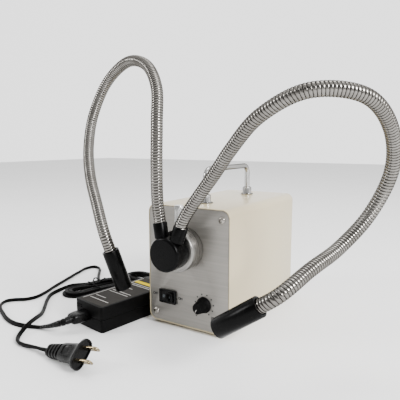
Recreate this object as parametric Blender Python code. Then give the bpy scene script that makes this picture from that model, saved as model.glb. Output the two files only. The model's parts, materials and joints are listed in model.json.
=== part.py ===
"""Gooseneck illuminator: a lamp housing with a two-armed light guide, its adapter and its leads.

Metres, +Z up. The origin is on the table, below the middle of the housing and its two arms.
In the housing frame x runs along the front panel, y runs back from it, z runs up from the shell.
In the front frame x is the same, y runs up and z runs forward, out of the front panel.
"""

import math

import bmesh
import bpy
from mathutils import Matrix, Vector

TURN = 2 * math.pi
GAP = 0.0003
OVERRUN = 0.002
MERGE = 0.000001
SMOOTH_ANGLE = math.radians(35)
FLUTE_ANGLE = math.radians(22)
BEVEL_ANGLE = math.radians(50)

# Housing shell
HOUSING_WIDTH = 0.103
HOUSING_HEIGHT = 0.133
HOUSING_DEPTH = 0.176
HOUSING_CORNER = 0.009
HOUSING_WALL = 0.0022
HOUSING_PLACE_X = -0.0232
HOUSING_PLACE_Y = -0.0453
LEDGE_WIDTH = 0.0012
PAD_SIZE = 0.015
PAD_DEPTH = 0.010
INTAKE_COUNT = 5
INTAKE_WIDTH = 0.003
INTAKE_LENGTH = 0.050
INTAKE_PITCH = 0.010
INTAKE_BACK = 0.060
SLOT_END_SHARE = 0.45

# Front and rear panels
PANEL_RECESS = 0.0008
PANEL_THICKNESS = 0.002
SCREW_INSET_X = 0.0095
SCREW_INSET_Z = 0.0108
SCREW_SHANK_RADIUS = 0.0015
SCREW_HEAD_RADIUS = 0.0038
SCREW_HEAD_HEIGHT = 0.0022
SCREW_RIM_SHARE = 0.55
SCREW_TOP_SHARE = 0.7
VENT_COUNT = 7
VENT_WIDTH = 0.003
VENT_PITCH = 0.0072
FAN_CENTRE_Z = 0.078

# Feet
FOOT_HEIGHT = 0.004
FOOT_RADIUS = 0.0055
FOOT_CHAMFER = 0.0008
FOOT_STEM_RADIUS = 0.002
FOOT_BARB_RADIUS = 0.003
FOOT_BARB_HEIGHT = 0.0015
FOOT_INSET_X = 0.014
FOOT_INSET_Y = 0.020

# Handle
HANDLE_PLACE_X = 0.0015
HANDLE_FRONT_Y = 0.036
HANDLE_REAR_Y = 0.140
HANDLE_HEIGHT = 0.0375
HANDLE_ROD_RADIUS = 0.0031
HANDLE_BEND = 0.009
HANDLE_TAIL = 0.005
HANDLE_BEND_STEPS = 5
NUT_RADIUS = 0.0056
NUT_HEIGHT = 0.0085
NUT_FLANGE_RADIUS = 0.008
NUT_FLANGE_HEIGHT = 0.0012
NUT_CHAMFER = 0.0008

# Light port on the front panel
PORT_X = -0.0025
PORT_Z = 0.0887
BARREL_RADIUS = 0.0225
BARREL_LENGTH = 0.020
BARREL_CHAMFER = 0.0014
NECK_RADIUS = 0.015
NECK_LENGTH = 0.010

# Thumbscrew in the barrel
CLAMP_Y = 0.011
CLAMP_SHANK_RADIUS = 0.002
CLAMP_HEAD_RADIUS = 0.0048
CLAMP_HEAD_LENGTH = 0.018
CLAMP_HEAD_CHAMFER = 0.0008
CLAMP_LIFT = 0.0068
CLAMP_GRIP = 0.008
KNURL_DEPTH = 0.0004

# Light guide: spigot, hub and collars
SPIGOT_RADIUS = 0.010
SPIGOT_REACH = 0.003
SPIGOT_FACE_RADIUS = 0.007
SPIGOT_FACE_DEPTH = 0.001
SPIGOT_NOSE_RADIUS = 0.008
SPIGOT_NOSE_LENGTH = 0.010
HUB_RADIUS = 0.0175
HUB_LENGTH = 0.0184
HUB_ROUND = 0.003
HUB_CHAMFER = 0.0008
HUB_TURN = math.radians(4)
COLLAR_SPREAD = 0.00925
COLLAR_LIFT = 0.0151
COLLAR_LEAN = math.radians(12.8)
COLLAR_RADIUS = 0.00675
COLLAR_LENGTH = 0.0155
COLLAR_CHAMFER = 0.0005
COLLAR_STUB_RADIUS = 0.0055
COLLAR_STUB_LENGTH = 0.006
COLLAR_BORE_DEPTH = 0.008

# Gooseneck hoses
STRETCH_COUNT = 6
RIB_COUNT = 8
HOSE_RADIUS = 0.00625
HOSE_VALLEY = 0.00565
HOSE_BORE = 0.0045
HINGE_CLEARANCE = 0.0016
BALL_RADIUS = 0.0040
BALL_BORE = 0.0021
BALL_NECK_LENGTH = 0.0035
BALL_SHARES = (-0.65, 0, 0.3)
BORE_STEPS = 4
HOSE_SEAT = 0.0077
ARM_LENGTH = 0.500
LEFT_ROUTE_SHARES = (
    (0, 0, 0), (-0.004, 0, 0.025), (-0.009, 0.003, 0.111), (-0.017, 0.016, 0.196), (-0.040, 0.046, 0.273),
    (-0.096, 0.081, 0.328), (-0.175, 0.109, 0.344), (-0.248, 0.117, 0.303), (-0.273, 0.094, 0.226),
    (-0.255, 0.057, 0.150), (-0.214, 0.019, 0.084), (-0.162, -0.014, 0.023), (-0.118, -0.033, -0.047),
    (-0.113, -0.027, -0.071),
)
RIGHT_ROUTE_SHARES = (
    (0, 0, 0), (0.007, 0, 0.024), (0.069, -0.007, 0.084), (0.123, -0.025, 0.150), (0.187, -0.047, 0.204),
    (0.266, -0.049, 0.238), (0.337, -0.003, 0.231), (0.365, 0.063, 0.184), (0.362, 0.111, 0.112),
    (0.329, 0.114, 0.033), (0.293, 0.061, -0.020), (0.268, -0.019, -0.044), (0.232, -0.088, -0.080),
    (0.212, -0.090, -0.094),
)
SAMPLES_PER_SPAN = 24
CORNER_SHARE = 0.3
WAIST_SHARE = 0.75

# Nozzles
NOZZLE_RADIUS = 0.009
NOZZLE_LENGTH = 0.045
NOZZLE_CHAMFER = 0.0007
NOZZLE_SOCKET_GAP = 0.00065
NOZZLE_SOCKET_RADIUS = HOSE_RADIUS + NOZZLE_SOCKET_GAP
NOZZLE_SOCKET_DEPTH = 0.008
NOZZLE_BORE = 0.0045
NOZZLE_MOUTH_RADIUS = 0.0069
NOZZLE_MOUTH_DEPTH = 0.0035
WINDOW_THICKNESS = 0.002
WINDOW_CROWN = 0.0006
WINDOW_SLOPE_SHARE = 0.6

# Lamp inside the housing
LED_PLATE_SIZE = 0.050
LED_PLATE_THICKNESS = 0.006
LED_DISC_RADIUS = 0.009
LED_DISC_HEIGHT = 0.0014
FIN_COUNT = 7
FIN_DEPTH = 0.032
FIN_THICKNESS = 0.0022
FAN_SIZE = 0.060
FAN_THICKNESS = 0.015
FAN_BORE_RADIUS = 0.0282
FAN_HUB_RADIUS = 0.0125
FAN_HUB_GAP = 0.001
FAN_SEAT_THICKNESS = 0.003
FAN_STRUT_WIDTH = 0.004
FAN_STRUT_COUNT = 3
FAN_STRUT_TURN_SHARE = 0.25
FAN_CORNER = 0.003
FAN_PIN_RADIUS = 0.002
FAN_PIN_LENGTH = 0.008
FAN_BLADE_COUNT = 7
FAN_BLADE_GAP = 0.0012
FAN_BLADE_THICKNESS = 0.0014
FAN_BLADE_REACH_SHARE = 0.8
FAN_BLADE_PITCH = math.radians(38)
BOARD_WIDTH = 0.070
BOARD_LENGTH = 0.090
BOARD_THICKNESS = 0.0016
BOARD_LIFT = 0.006
BOARD_LEG_RADIUS = 0.003
BOARD_FRONT = 0.040

# Dimmer
DIAL_X = 0.0214
DIAL_Z = 0.0298
KNOB_RADIUS = 0.0085
KNOB_SKIRT_HEIGHT = 0.003
KNOB_GRIP_RADIUS = 0.0062
KNOB_TOP_RADIUS = 0.0055
KNOB_HEIGHT = 0.0146
KNOB_CHAMFER = 0.0006
KNOB_FLUTE = 0.0005
POT_SHAFT_RADIUS = 0.003
POT_SHAFT_LENGTH = 0.011
POT_BUSH_RADIUS = 0.0035
POT_BODY_SIZE = 0.016
POT_BODY_DEPTH = 0.009

# Power switch
SWITCH_X = -0.0257
SWITCH_Z = 0.0302
BEZEL_WIDTH = 0.0225
BEZEL_HEIGHT = 0.0153
BEZEL_PROUD = 0.0018
SWITCH_BODY_WIDTH = 0.0195
SWITCH_BODY_HEIGHT = 0.0125
SWITCH_BODY_DEPTH = 0.016
SWITCH_CORNER = 0.001
SWITCH_POCKET_DEPTH = 0.007
ROCKER_RADIUS = 0.0083
ROCKER_HEIGHT = 0.0102
ROCKER_TILT = math.radians(10)
ROCKER_TOP_ANGLE = math.radians(27)
ROCKER_LOW_ANGLE = math.radians(-10)
ROCKER_DIP = 0.0022
ROCKER_PIN_RADIUS = 0.001
ROCKER_PIN_LENGTH = 0.0011

# Low-voltage jack and its plug
JACK_INSET = 0.0215
JACK_X = JACK_INSET - HOUSING_WIDTH / 2
JACK_Z = 0.030
JACK_BODY_SIZE = 0.011
JACK_BODY_DEPTH = 0.012
JACK_BUSH_RADIUS = 0.004
JACK_PROUD = 0.0012
JACK_BORE_RADIUS = 0.00305
JACK_BORE_DEPTH = 0.0095
JACK_PIN_RADIUS = 0.001
PLUG_SLEEVE_BORE = 0.0013
DC_PLUG_RADIUS = 0.005
DC_PLUG_LENGTH = 0.020
DC_PLUG_CHAMFER = 0.0006
DC_RELIEF_LENGTH = 0.013
DC_RELIEF_RADIUS = 0.0031
DC_CORD_RADIUS = 0.0018

# Mains adapter, in a frame of its own that lies on the table
ADAPTER_WIDTH = 0.049
ADAPTER_LENGTH = 0.112
ADAPTER_HEIGHT = 0.0286
ADAPTER_CORNER = 0.003
ADAPTER_BEVEL = 0.0008
TABLE_SIDE = 0.0515
ADAPTER_PLACE_X = -0.0728
ADAPTER_PLACE_Y = -0.0557
ADAPTER_TURN = math.radians(-9.1)
INLET_ACROSS = 0.030
INLET_WIDTH = 0.016
INLET_HEIGHT = 0.0095
INLET_DEPTH = 0.012
ADAPTER_RELIEF_LENGTH = 0.012
ADAPTER_RELIEF_RADIUS = 0.0042
ADAPTER_RELIEF_FLANGE = 0.002

# Mains connector on the adapter
NOSE_WIDTH = 0.0142
NOSE_HEIGHT = 0.0078
GRIP_WIDTH = 0.017
GRIP_HEIGHT = 0.011
GRIP_LENGTH = 0.019
GRIP_BEVEL = 0.0012
GRIP_CORNER_SHARE = 0.4
RELIEF_ROUTE = (
    (-0.1056, -0.0708, 0.0143), (-0.1070, -0.0760, 0.0137), (-0.1113, -0.0795, 0.0121),
    (-0.1185, -0.0806, 0.0092), (-0.1275, -0.0810, 0.0058), (-0.1380, -0.0825, 0.0029),
)
RELIEF_START_RADIUS = 0.0046
RELIEF_END_RADIUS = 0.0029
RELIEF_RIB = 0.0006
RELIEF_RIB_COUNT = 7

# Mains plug
PLUG_PLACE = (-0.0342, -0.1190, 0.0140)
PLUG_HEADING = math.radians(-0.6)
PLUG_RISE = math.radians(10.5)
PLUG_ROLL = math.radians(38)
PLUG_FLANGE_WIDTH = 0.029
PLUG_FLANGE_HEIGHT = 0.015
PLUG_FLANGE_THICKNESS = 0.003
PLUG_CORNER = 0.005
PLUG_CORNER_SHARE = 0.42
PLUG_RIM_SHARE = 0.7
PLUG_WAIST_WIDTH = 0.0185
PLUG_WAIST_HEIGHT = 0.0125
PLUG_SHOULDER_LENGTH = 0.0078
PLUG_TAPER_SHARE = 0.93
PLUG_RIB_SHARE = 0.82
PLUG_BODY_LENGTH = 0.027
PLUG_TAIL_WIDTH = 0.0105
PLUG_TAIL_HEIGHT = 0.0085
PLUG_LENGTH = 0.045
PLUG_RIM_DEPTH = 0.001
PLUG_RIB_COUNT = 4
PLUG_RIB_DEPTH = 0.0008
BLADE_SPACING = 0.0127
BLADE_WIDTH = 0.00635
BLADE_LENGTH = 0.0165
BLADE_THICKNESS = 0.0015
BLADE_ROOT = 0.006
BLADE_HOLE_RADIUS = 0.0016
BLADE_HOLE_BACK = 0.0038

# Leads and hanks
MAINS_RADIUS = 0.0022
MAINS_STEP = 0.0125
DC_STEP = 0.010
MAINS_ROUTE_A = (
    (-0.1385, -0.0826, 0.0028), (-0.1445, -0.0841, 0.0024), (-0.1510, -0.0864, 0.0023),
    (-0.1590, -0.0893, 0.0023), (-0.1720, -0.0913, 0.0023), (-0.1910, -0.0880, 0.0023),
    (-0.2110, -0.0800, 0.0023), (-0.2280, -0.0720, 0.0023), (-0.2405, -0.0615, 0.0023),
    (-0.2440, -0.0520, 0.0023), (-0.2385, -0.0435, 0.0023), (-0.2290, -0.0360, 0.0023),
    (-0.2245, -0.0250, 0.0023), (-0.2275, -0.0080, 0.0023), (-0.2370, 0.0160, 0.0023),
    (-0.2490, 0.0490, 0.0023), (-0.2620, 0.0860, 0.0023), (-0.2680, 0.1090, 0.0023),
    (-0.2640, 0.1210, 0.0023), (-0.2520, 0.1190, 0.0023), (-0.2330, 0.1010, 0.0023),
    (-0.2185, 0.0850, 0.0023), (-0.2075, 0.0740, 0.0023), (-0.2007, 0.0652, 0.0023),
    (-0.1989, 0.0563, 0.0023), (-0.2010, 0.0499, 0.0023),
)
MAINS_ROUTE_B = (
    (-0.2013, 0.0488, 0.0073), (-0.2063, 0.0383, 0.0073), (-0.2119, 0.0275, 0.0066),
    (-0.2169, 0.0186, 0.0042), (-0.2189, 0.0077, 0.0026), (-0.2156, -0.0050, 0.0023),
    (-0.2075, -0.0170, 0.0023), (-0.1965, -0.0290, 0.0023), (-0.1850, -0.0405, 0.0023),
    (-0.1745, -0.0515, 0.0024), (-0.1650, -0.0620, 0.0044), (-0.1575, -0.0730, 0.0069),
    (-0.1520, -0.0830, 0.0079), (-0.1475, -0.0930, 0.0074), (-0.1435, -0.1030, 0.0046),
    (-0.1375, -0.1120, 0.0024), (-0.1290, -0.1180, 0.0023), (-0.1180, -0.1197, 0.0023),
    (-0.1070, -0.1194, 0.0028), (-0.0960, -0.1189, 0.0038), (-0.0792, -0.1186, 0.0057),
)
MAINS_HANK_CENTRE = (-0.1850, 0.0440)
MAINS_HANK_TURN = math.radians(18)
HANK_HALF_LENGTH = 0.044
HANK_HALF_WIDTH = 0.0185
HANK_PINCH = 0.0015
HANK_SPACING = 0.0050
HANK_LIFT = 0.0050
HANK_CLIMB_SHARE = 0.16
HANK_RUN_SHARE = 0.4
HALF_SHARE = 0.5
HANK_REST = 0.0001
LOOP_POINTS = 24
GAP_STEPS = 6
MAINS_HANK_TURNS = 4
DC_HANK_TURNS = 3.5
DC_HANK_CENTRE = (-0.1240, 0.1115)
DC_HANK_TURN = math.radians(-90)
DC_HANK_HALF_LENGTH = 0.0585
DC_HANK_HALF_WIDTH = 0.0175
DC_HANK_SPACING = 0.0042
DC_HANK_LIFT = 0.0042
DC_ROUTE_A = (
    (-0.0774, 0.0709, 0.0143), (-0.0762, 0.0785, 0.0136), (-0.0775, 0.0855, 0.0112),
    (-0.0825, 0.0910, 0.0078), (-0.0900, 0.0935, 0.0046), (-0.1000, 0.0943, 0.0023),
    (-0.1120, 0.0950, 0.0019), (-0.1236, 0.0955, 0.0019),
)
DC_ROUTE_B = (
    (-0.1236, 0.1275, 0.0061), (-0.1080, 0.1288, 0.0053), (-0.0920, 0.1330, 0.0028),
    (-0.0780, 0.1385, 0.0019), (-0.0665, 0.1475, 0.0019), (-0.0605, 0.1620, 0.0019),
    (-0.0590, 0.1780, 0.0019), (-0.0590, 0.1940, 0.0019), (-0.0585, 0.2100, 0.0026),
    (-0.0565, 0.2240, 0.0062), (-0.0510, 0.2350, 0.0132), (-0.0425, 0.2390, 0.0222),
    (-0.0345, 0.2340, 0.0300), (-0.0305, 0.2240, 0.0335), (-0.0300, 0.2100, 0.0340),
)
TIE_RADIUS = 0.0008
TIE_CLEARANCE = 0.0004

CREAM = ("cream_enamel", (0.80, 0.79, 0.74), 0.45, 0.0)
PANEL = ("brushed_panel", (0.56, 0.55, 0.53), 0.38, 1.0)
BRIGHT = ("bright_aluminium", (0.78, 0.78, 0.77), 0.25, 1.0)
BLACK_METAL = ("black_anodised", (0.02, 0.02, 0.022), 0.35, 0.6)
BLACK_PLASTIC = ("black_plastic", (0.018, 0.018, 0.02), 0.45, 0.0)
CHROME = ("chrome", (0.75, 0.75, 0.77), 0.12, 1.0)
STEEL = ("steel", (0.55, 0.55, 0.55), 0.3, 1.0)
RUBBER = ("rubber", (0.03, 0.03, 0.03), 0.8, 0.0)
GLASS = ("window_glass", (0.85, 0.88, 0.9), 0.08, 0.0)
BOARD = ("board_green", (0.03, 0.16, 0.07), 0.5, 0.0)
BRASS = ("blade_brass", (0.72, 0.60, 0.36), 0.3, 1.0)
CORD = ("cord_black", (0.015, 0.015, 0.016), 0.5, 0.0)
WIRE = ("tie_black", (0.02, 0.02, 0.02), 0.6, 0.0)


def clear_scene():
    for old in list(bpy.data.objects):
        bpy.data.objects.remove(old, do_unlink=True)


def material(look):
    name, colour, roughness, metallic = look
    found = bpy.data.materials.get(name)
    if found:
        return found
    made = bpy.data.materials.new(name)
    made.use_nodes = True
    made.diffuse_color = (*colour, 1)
    shader = made.node_tree.nodes["Principled BSDF"]
    shader.inputs["Base Color"].default_value = (*colour, 1)
    shader.inputs["Roughness"].default_value = roughness
    shader.inputs["Metallic"].default_value = metallic
    return made


def frame(name, place, rotation, parent=None):
    empty = bpy.data.objects.new(name, None)
    bpy.context.scene.collection.objects.link(empty)
    empty.parent = parent
    empty.matrix_local = Matrix.Translation(place) @ rotation
    return empty


def piece(name, shape, look, parent, place=(0, 0, 0), rotation=None):
    """Make an object of a bmesh or a mesh, standing at place in its parent's frame."""
    mesh = shape
    if isinstance(shape, bmesh.types.BMesh):
        bmesh.ops.recalc_face_normals(shape, faces=shape.faces)
        mesh = bpy.data.meshes.new(name)
        shape.to_mesh(mesh)
        shape.free()
    mesh.materials.clear()
    mesh.materials.append(material(look))
    made = bpy.data.objects.new(name, mesh)
    bpy.context.scene.collection.objects.link(made)
    made.parent = parent
    made.matrix_local = Matrix.Translation(place) @ (rotation or Matrix())
    return made


def smooth(made, angle=SMOOTH_ANGLE):
    made.data.shade_smooth()
    made.data.set_sharp_from_angle(angle=angle)
    return made


def combine(target, other, operation):
    other.hide_render = True
    other.display_type = "WIRE"
    modifier = target.modifiers.new(other.name, "BOOLEAN")
    modifier.operation = operation
    modifier.solver = "EXACT"
    modifier.object = other
    return target


def cut(target, name, shape, parent, place=(0, 0, 0), rotation=None):
    return combine(target, piece(name, shape, STEEL, parent, place, rotation), "DIFFERENCE")


def add(target, name, shape, parent, place=(0, 0, 0), rotation=None):
    return combine(target, piece(name, shape, STEEL, parent, place, rotation), "UNION")


def turned(profile, sides, ring=False, flute=0, flute_from=0):
    """Spin (radius, height) points about z; a ring's profile closes on itself."""
    shape = bmesh.new()
    points = [shape.verts.new((radius, 0, height)) for radius, height in profile]
    pairs = list(zip(points, points[1:]))
    if ring:
        pairs.append((points[-1], points[0]))
    edges = [shape.edges.new(pair) for pair in pairs]
    bmesh.ops.spin(
        shape, geom=points + edges, axis=(0, 0, 1), cent=(0, 0, 0),
        steps=sides, angle=TURN, use_merge=True,
    )
    bmesh.ops.remove_doubles(shape, verts=shape.verts, dist=MERGE)
    for vertex in shape.verts:
        radius = vertex.co.xy.length
        if not flute or radius < flute_from:
            continue
        step = round(math.atan2(vertex.co.y, vertex.co.x) / (TURN / sides))
        if step % 2:
            vertex.co.xy = vertex.co.xy * (radius - flute) / radius
    return shape


def rounded_rect(width, height, radius, steps=4, centre=(0, 0)):
    points = []
    for quarter in range(4):
        angle = quarter * TURN / 4
        across = 1 if quarter in (0, 3) else -1
        upward = 1 if quarter in (0, 1) else -1
        x = centre[0] + across * (width / 2 - radius)
        y = centre[1] + upward * (height / 2 - radius)
        for step in range(steps + 1):
            turn = angle + step / steps * TURN / 4
            points.append((x + radius * math.cos(turn), y + radius * math.sin(turn)))
    return points


def rectangle(width, height, centre=(0, 0)):
    x, y = centre
    right, top = width / 2, height / 2
    return [(x - right, y - top), (x + right, y - top), (x + right, y + top), (x - right, y + top)]


def prism(outline, start, end, shape=None):
    """Extrude an outline of (x, y) points along z from start to end."""
    shape = shape or bmesh.new()
    base = shape.faces.new([shape.verts.new((x, y, start)) for x, y in outline])
    grown = bmesh.ops.extrude_face_region(shape, geom=[base])
    moved = [item for item in grown["geom"] if isinstance(item, bmesh.types.BMVert)]
    bmesh.ops.translate(shape, verts=moved, vec=(0, 0, end - start))
    return shape


def circle(radius, sides, centre=(0, 0)):
    turns = [step / sides * TURN for step in range(sides)]
    return [(centre[0] + radius * math.cos(t), centre[1] + radius * math.sin(t)) for t in turns]


def soften(made, width, segments=1):
    bevel = made.modifiers.new("edges", "BEVEL")
    bevel.width = width
    bevel.segments = segments
    bevel.limit_method = "ANGLE"
    bevel.angle_limit = BEVEL_ANGLE
    return made


def knot_flow(before, knot, after):
    """The curve's direction at a knot, led more by the nearer of its two neighbours."""
    back, ahead = (knot - before).length, (after - knot).length
    return ((after - knot) * back / ahead + (knot - before) * ahead / back) / (back + ahead)


def hermite(start, end, leaving, arriving, share):
    span = (end - start).length
    square, cube = share * share, share * share * share
    point = start * (cube * 2 - square * 3 + 1) + end * (square * 3 - cube * 2)
    return point + (leaving * (cube - square * 2 + share) + arriving * (cube - square)) * span


def smooth_path(points):
    """Many points on one smooth curve through a few."""
    knots = [Vector(point) for point in points]
    flows = [knot_flow(*knots[i - 1:i + 2]) for i in range(1, len(knots) - 1)]
    flows = [(knots[1] - knots[0]).normalized(), *flows, (knots[-1] - knots[-2]).normalized()]
    dense = []
    for index in range(len(knots) - 1):
        for step in range(SAMPLES_PER_SPAN):
            share = step / SAMPLES_PER_SPAN
            dense.append(hermite(*knots[index:index + 2], *flows[index:index + 2], share))
    dense.append(knots[-1])
    return dense


class Route:
    """A smooth curve that gives its points and directions by distance from its start."""

    def __init__(self, points):
        self.points = smooth_path(points)
        self.distances = [0]
        for near, far in zip(self.points, self.points[1:]):
            self.distances.append(self.distances[-1] + (far - near).length)
        self.length = self.distances[-1]

    def at(self, distance):
        if distance <= 0:
            return self.points[0] + self.heading(0) * distance
        if distance >= self.length:
            return self.points[-1] + self.heading(self.length) * (distance - self.length)
        after = next(i for i, far in enumerate(self.distances) if far > distance)
        span = self.distances[after] - self.distances[after - 1]
        share = (distance - self.distances[after - 1]) / span
        return self.points[after - 1].lerp(self.points[after], share)

    def heading(self, distance):
        after = next((i for i, far in enumerate(self.distances) if far > distance), len(self.points) - 1)
        after = max(after, 1)
        return (self.points[after] - self.points[after - 1]).normalized()


def tube_mesh(name, points, radii, resolution, cyclic=False):
    """The mesh of a bevelled curve whose radius may change from point to point."""
    curve = bpy.data.curves.new(name, "CURVE")
    curve.dimensions = "3D"
    curve.bevel_depth = 1
    curve.bevel_resolution = resolution
    curve.use_fill_caps = not cyclic
    spline = curve.splines.new("POLY")
    spline.points.add(len(points) - 1)
    for knot, point, radius in zip(spline.points, points, radii):
        knot.co = (*point, 1)
        knot.radius = radius
    spline.use_cyclic_u = cyclic
    holder = bpy.data.objects.new(name, curve)
    mesh = bpy.data.meshes.new_from_object(holder)
    bpy.data.objects.remove(holder)
    bpy.data.curves.remove(curve)
    return mesh


def cord_piece(name, points, radius, look, parent, resolution=2):
    curve = bpy.data.curves.new(name, "CURVE")
    curve.dimensions = "3D"
    curve.bevel_depth = radius
    curve.bevel_resolution = resolution
    curve.use_fill_caps = True
    spline = curve.splines.new("POLY")
    spline.points.add(len(points) - 1)
    for knot, point in zip(spline.points, points):
        knot.co = (*point, 1)
    curve.materials.append(material(look))
    made = bpy.data.objects.new(name, curve)
    bpy.context.scene.collection.objects.link(made)
    made.parent = parent
    return made


def screw_places():
    across = HOUSING_WIDTH / 2 - SCREW_INSET_X
    low, high = SCREW_INSET_Z, HOUSING_HEIGHT - SCREW_INSET_Z
    return [(-across, low), (across, low), (-across, high), (across, high)]


def inner_outline(clearance):
    """The outline of the shell's inside, drawn in on every side by a clearance."""
    inset = HOUSING_WALL + clearance
    width = HOUSING_WIDTH - inset * 2
    height = HOUSING_HEIGHT - inset * 2
    return rounded_rect(width, height, HOUSING_CORNER - inset, 4, (0, HOUSING_HEIGHT / 2))


def ledge_outline():
    """The opening between the ledge's four screw pads."""
    side = HOUSING_WIDTH / 2 - HOUSING_WALL - LEDGE_WIDTH
    top = HOUSING_HEIGHT / 2 - HOUSING_WALL - LEDGE_WIDTH
    inside, below = side - PAD_SIZE, top - PAD_SIZE
    corners = [
        (-inside, -top), (inside, -top), (inside, -below), (side, -below), (side, below), (inside, below),
        (inside, top), (-inside, top), (-inside, below), (-side, below), (-side, -below), (-inside, -below),
    ]
    return [(x, y + HOUSING_HEIGHT / 2) for x, y in corners]


def slot_row(count, pitch, width, length, centre, start, end):
    shape = bmesh.new()
    for index in range(count):
        x = centre[0] + (index - (count - 1) / 2) * pitch
        prism(rounded_rect(width, length, width * SLOT_END_SHARE, 1, (x, centre[1])), start, end, shape)
    return shape


def make_shell(front):
    seat = PANEL_RECESS + PANEL_THICKNESS + GAP
    pad_end = seat + PAD_DEPTH
    outline = rounded_rect(HOUSING_WIDTH, HOUSING_HEIGHT, HOUSING_CORNER, 4, (0, HOUSING_HEIGHT / 2))
    shell = piece("housing_shell", prism(outline, -HOUSING_DEPTH, 0), CREAM, front)
    cut(shell, "ledge_cut", prism(ledge_outline(), -HOUSING_DEPTH - OVERRUN, OVERRUN), front)
    cut(shell, "cavity_cut", prism(inner_outline(0), pad_end - HOUSING_DEPTH, -pad_end), front)
    cut(shell, "front_recess_cut", prism(inner_outline(0), -seat, OVERRUN), front)
    cut(shell, "rear_recess_cut", prism(inner_outline(0), -HOUSING_DEPTH - OVERRUN, seat - HOUSING_DEPTH), front)
    holes = bmesh.new()
    radius = SCREW_SHANK_RADIUS + GAP
    for place in screw_places():
        prism(circle(radius, 8, place), -pad_end - OVERRUN, OVERRUN, holes)
        prism(circle(radius, 8, place), -HOUSING_DEPTH - OVERRUN, pad_end - HOUSING_DEPTH + OVERRUN, holes)
    cut(shell, "screw_hole_cut", holes, front)
    upward = Matrix.Rotation(-TURN / 4, 4, "X")
    floor_holes = slot_row(
        INTAKE_COUNT, INTAKE_PITCH, INTAKE_WIDTH, INTAKE_LENGTH,
        (0, INTAKE_BACK + INTAKE_LENGTH / 2), -OVERRUN, HOUSING_WALL + OVERRUN,
    )
    for x, y in foot_places():
        prism(circle(FOOT_STEM_RADIUS + GAP, 10, (x, y)), -OVERRUN, HOUSING_WALL + OVERRUN, floor_holes)
    cut(shell, "floor_hole_cut", floor_holes, front, rotation=upward)
    roof_holes = bmesh.new()
    low, high = HOUSING_HEIGHT - HOUSING_WALL - OVERRUN, HOUSING_HEIGHT + OVERRUN
    for y in (HANDLE_FRONT_Y, HANDLE_REAR_Y):
        prism(circle(HANDLE_ROD_RADIUS + GAP, 12, (HANDLE_PLACE_X, y)), low, high, roof_holes)
    cut(shell, "roof_hole_cut", roof_holes, front, rotation=upward)
    return smooth(shell)


def make_front_panel(front):
    back = -PANEL_RECESS - PANEL_THICKNESS
    panel = piece("front_panel", prism(inner_outline(GAP), back, -PANEL_RECESS), PANEL, front)
    holes = bmesh.new()
    start, end = back - OVERRUN, OVERRUN
    for place in screw_places():
        prism(circle(SCREW_SHANK_RADIUS + GAP, 10, place), start, end, holes)
    prism(circle(NECK_RADIUS + GAP, 24, (PORT_X, PORT_Z)), start, end, holes)
    prism(circle(POT_BUSH_RADIUS + GAP, 12, (DIAL_X, DIAL_Z)), start, end, holes)
    width, height = SWITCH_BODY_WIDTH + GAP * 2, SWITCH_BODY_HEIGHT + GAP * 2
    prism(rectangle(width, height, (SWITCH_X, SWITCH_Z)), start, end, holes)
    cut(panel, "panel_hole_cut", holes, front)
    return panel


def make_rear_panel(front):
    inner = PANEL_RECESS + PANEL_THICKNESS - HOUSING_DEPTH
    outer = PANEL_RECESS - HOUSING_DEPTH
    panel = piece("rear_panel", prism(inner_outline(GAP), outer, inner), CREAM, front)
    vents = bmesh.new()
    reach = FAN_BORE_RADIUS - VENT_WIDTH
    for index in range(VENT_COUNT):
        offset = (index - (VENT_COUNT - 1) / 2) * VENT_PITCH
        length = 2 * math.sqrt(reach * reach - offset * offset)
        slot = rounded_rect(VENT_WIDTH, length, VENT_WIDTH * SLOT_END_SHARE, 1, (offset, FAN_CENTRE_Z))
        prism(slot, outer - OVERRUN, inner + OVERRUN, vents)
    prism(circle(JACK_BUSH_RADIUS + GAP, 14, (JACK_X, JACK_Z)), outer - OVERRUN, inner + OVERRUN, vents)
    cut(panel, "vent_cut", vents, front)
    screws = bmesh.new()
    for place in screw_places():
        prism(circle(SCREW_HEAD_RADIUS, 10, place), outer - SCREW_HEAD_HEIGHT, outer + GAP, screws)
    add(panel, "rear_screw_heads", screws, front)
    shanks = bmesh.new()
    for place in screw_places():
        prism(circle(SCREW_SHANK_RADIUS, 6, place), inner - GAP, inner + PAD_DEPTH, shanks)
    add(panel, "rear_screw_shanks", shanks, front)
    return panel


def make_front_screws(front):
    shank_end = -PANEL_THICKNESS - PAD_DEPTH
    profile = [
        (0, shank_end), (SCREW_SHANK_RADIUS, shank_end), (SCREW_SHANK_RADIUS, GAP),
        (SCREW_HEAD_RADIUS, GAP), (SCREW_HEAD_RADIUS, SCREW_HEAD_HEIGHT * SCREW_RIM_SHARE),
        (SCREW_HEAD_RADIUS * SCREW_TOP_SHARE, SCREW_HEAD_HEIGHT), (0, SCREW_HEAD_HEIGHT),
    ]
    for index, (x, z) in enumerate(screw_places()):
        name = f"front_screw_{index + 1}"
        smooth(piece(name, turned(profile, 10), STEEL, front, (x, z, -PANEL_RECESS)))


def foot_places():
    across = HOUSING_WIDTH / 2 - FOOT_INSET_X
    near, far = FOOT_INSET_Y, HOUSING_DEPTH - FOOT_INSET_Y
    return [(-across, near), (across, near), (-across, far), (across, far)]


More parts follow.
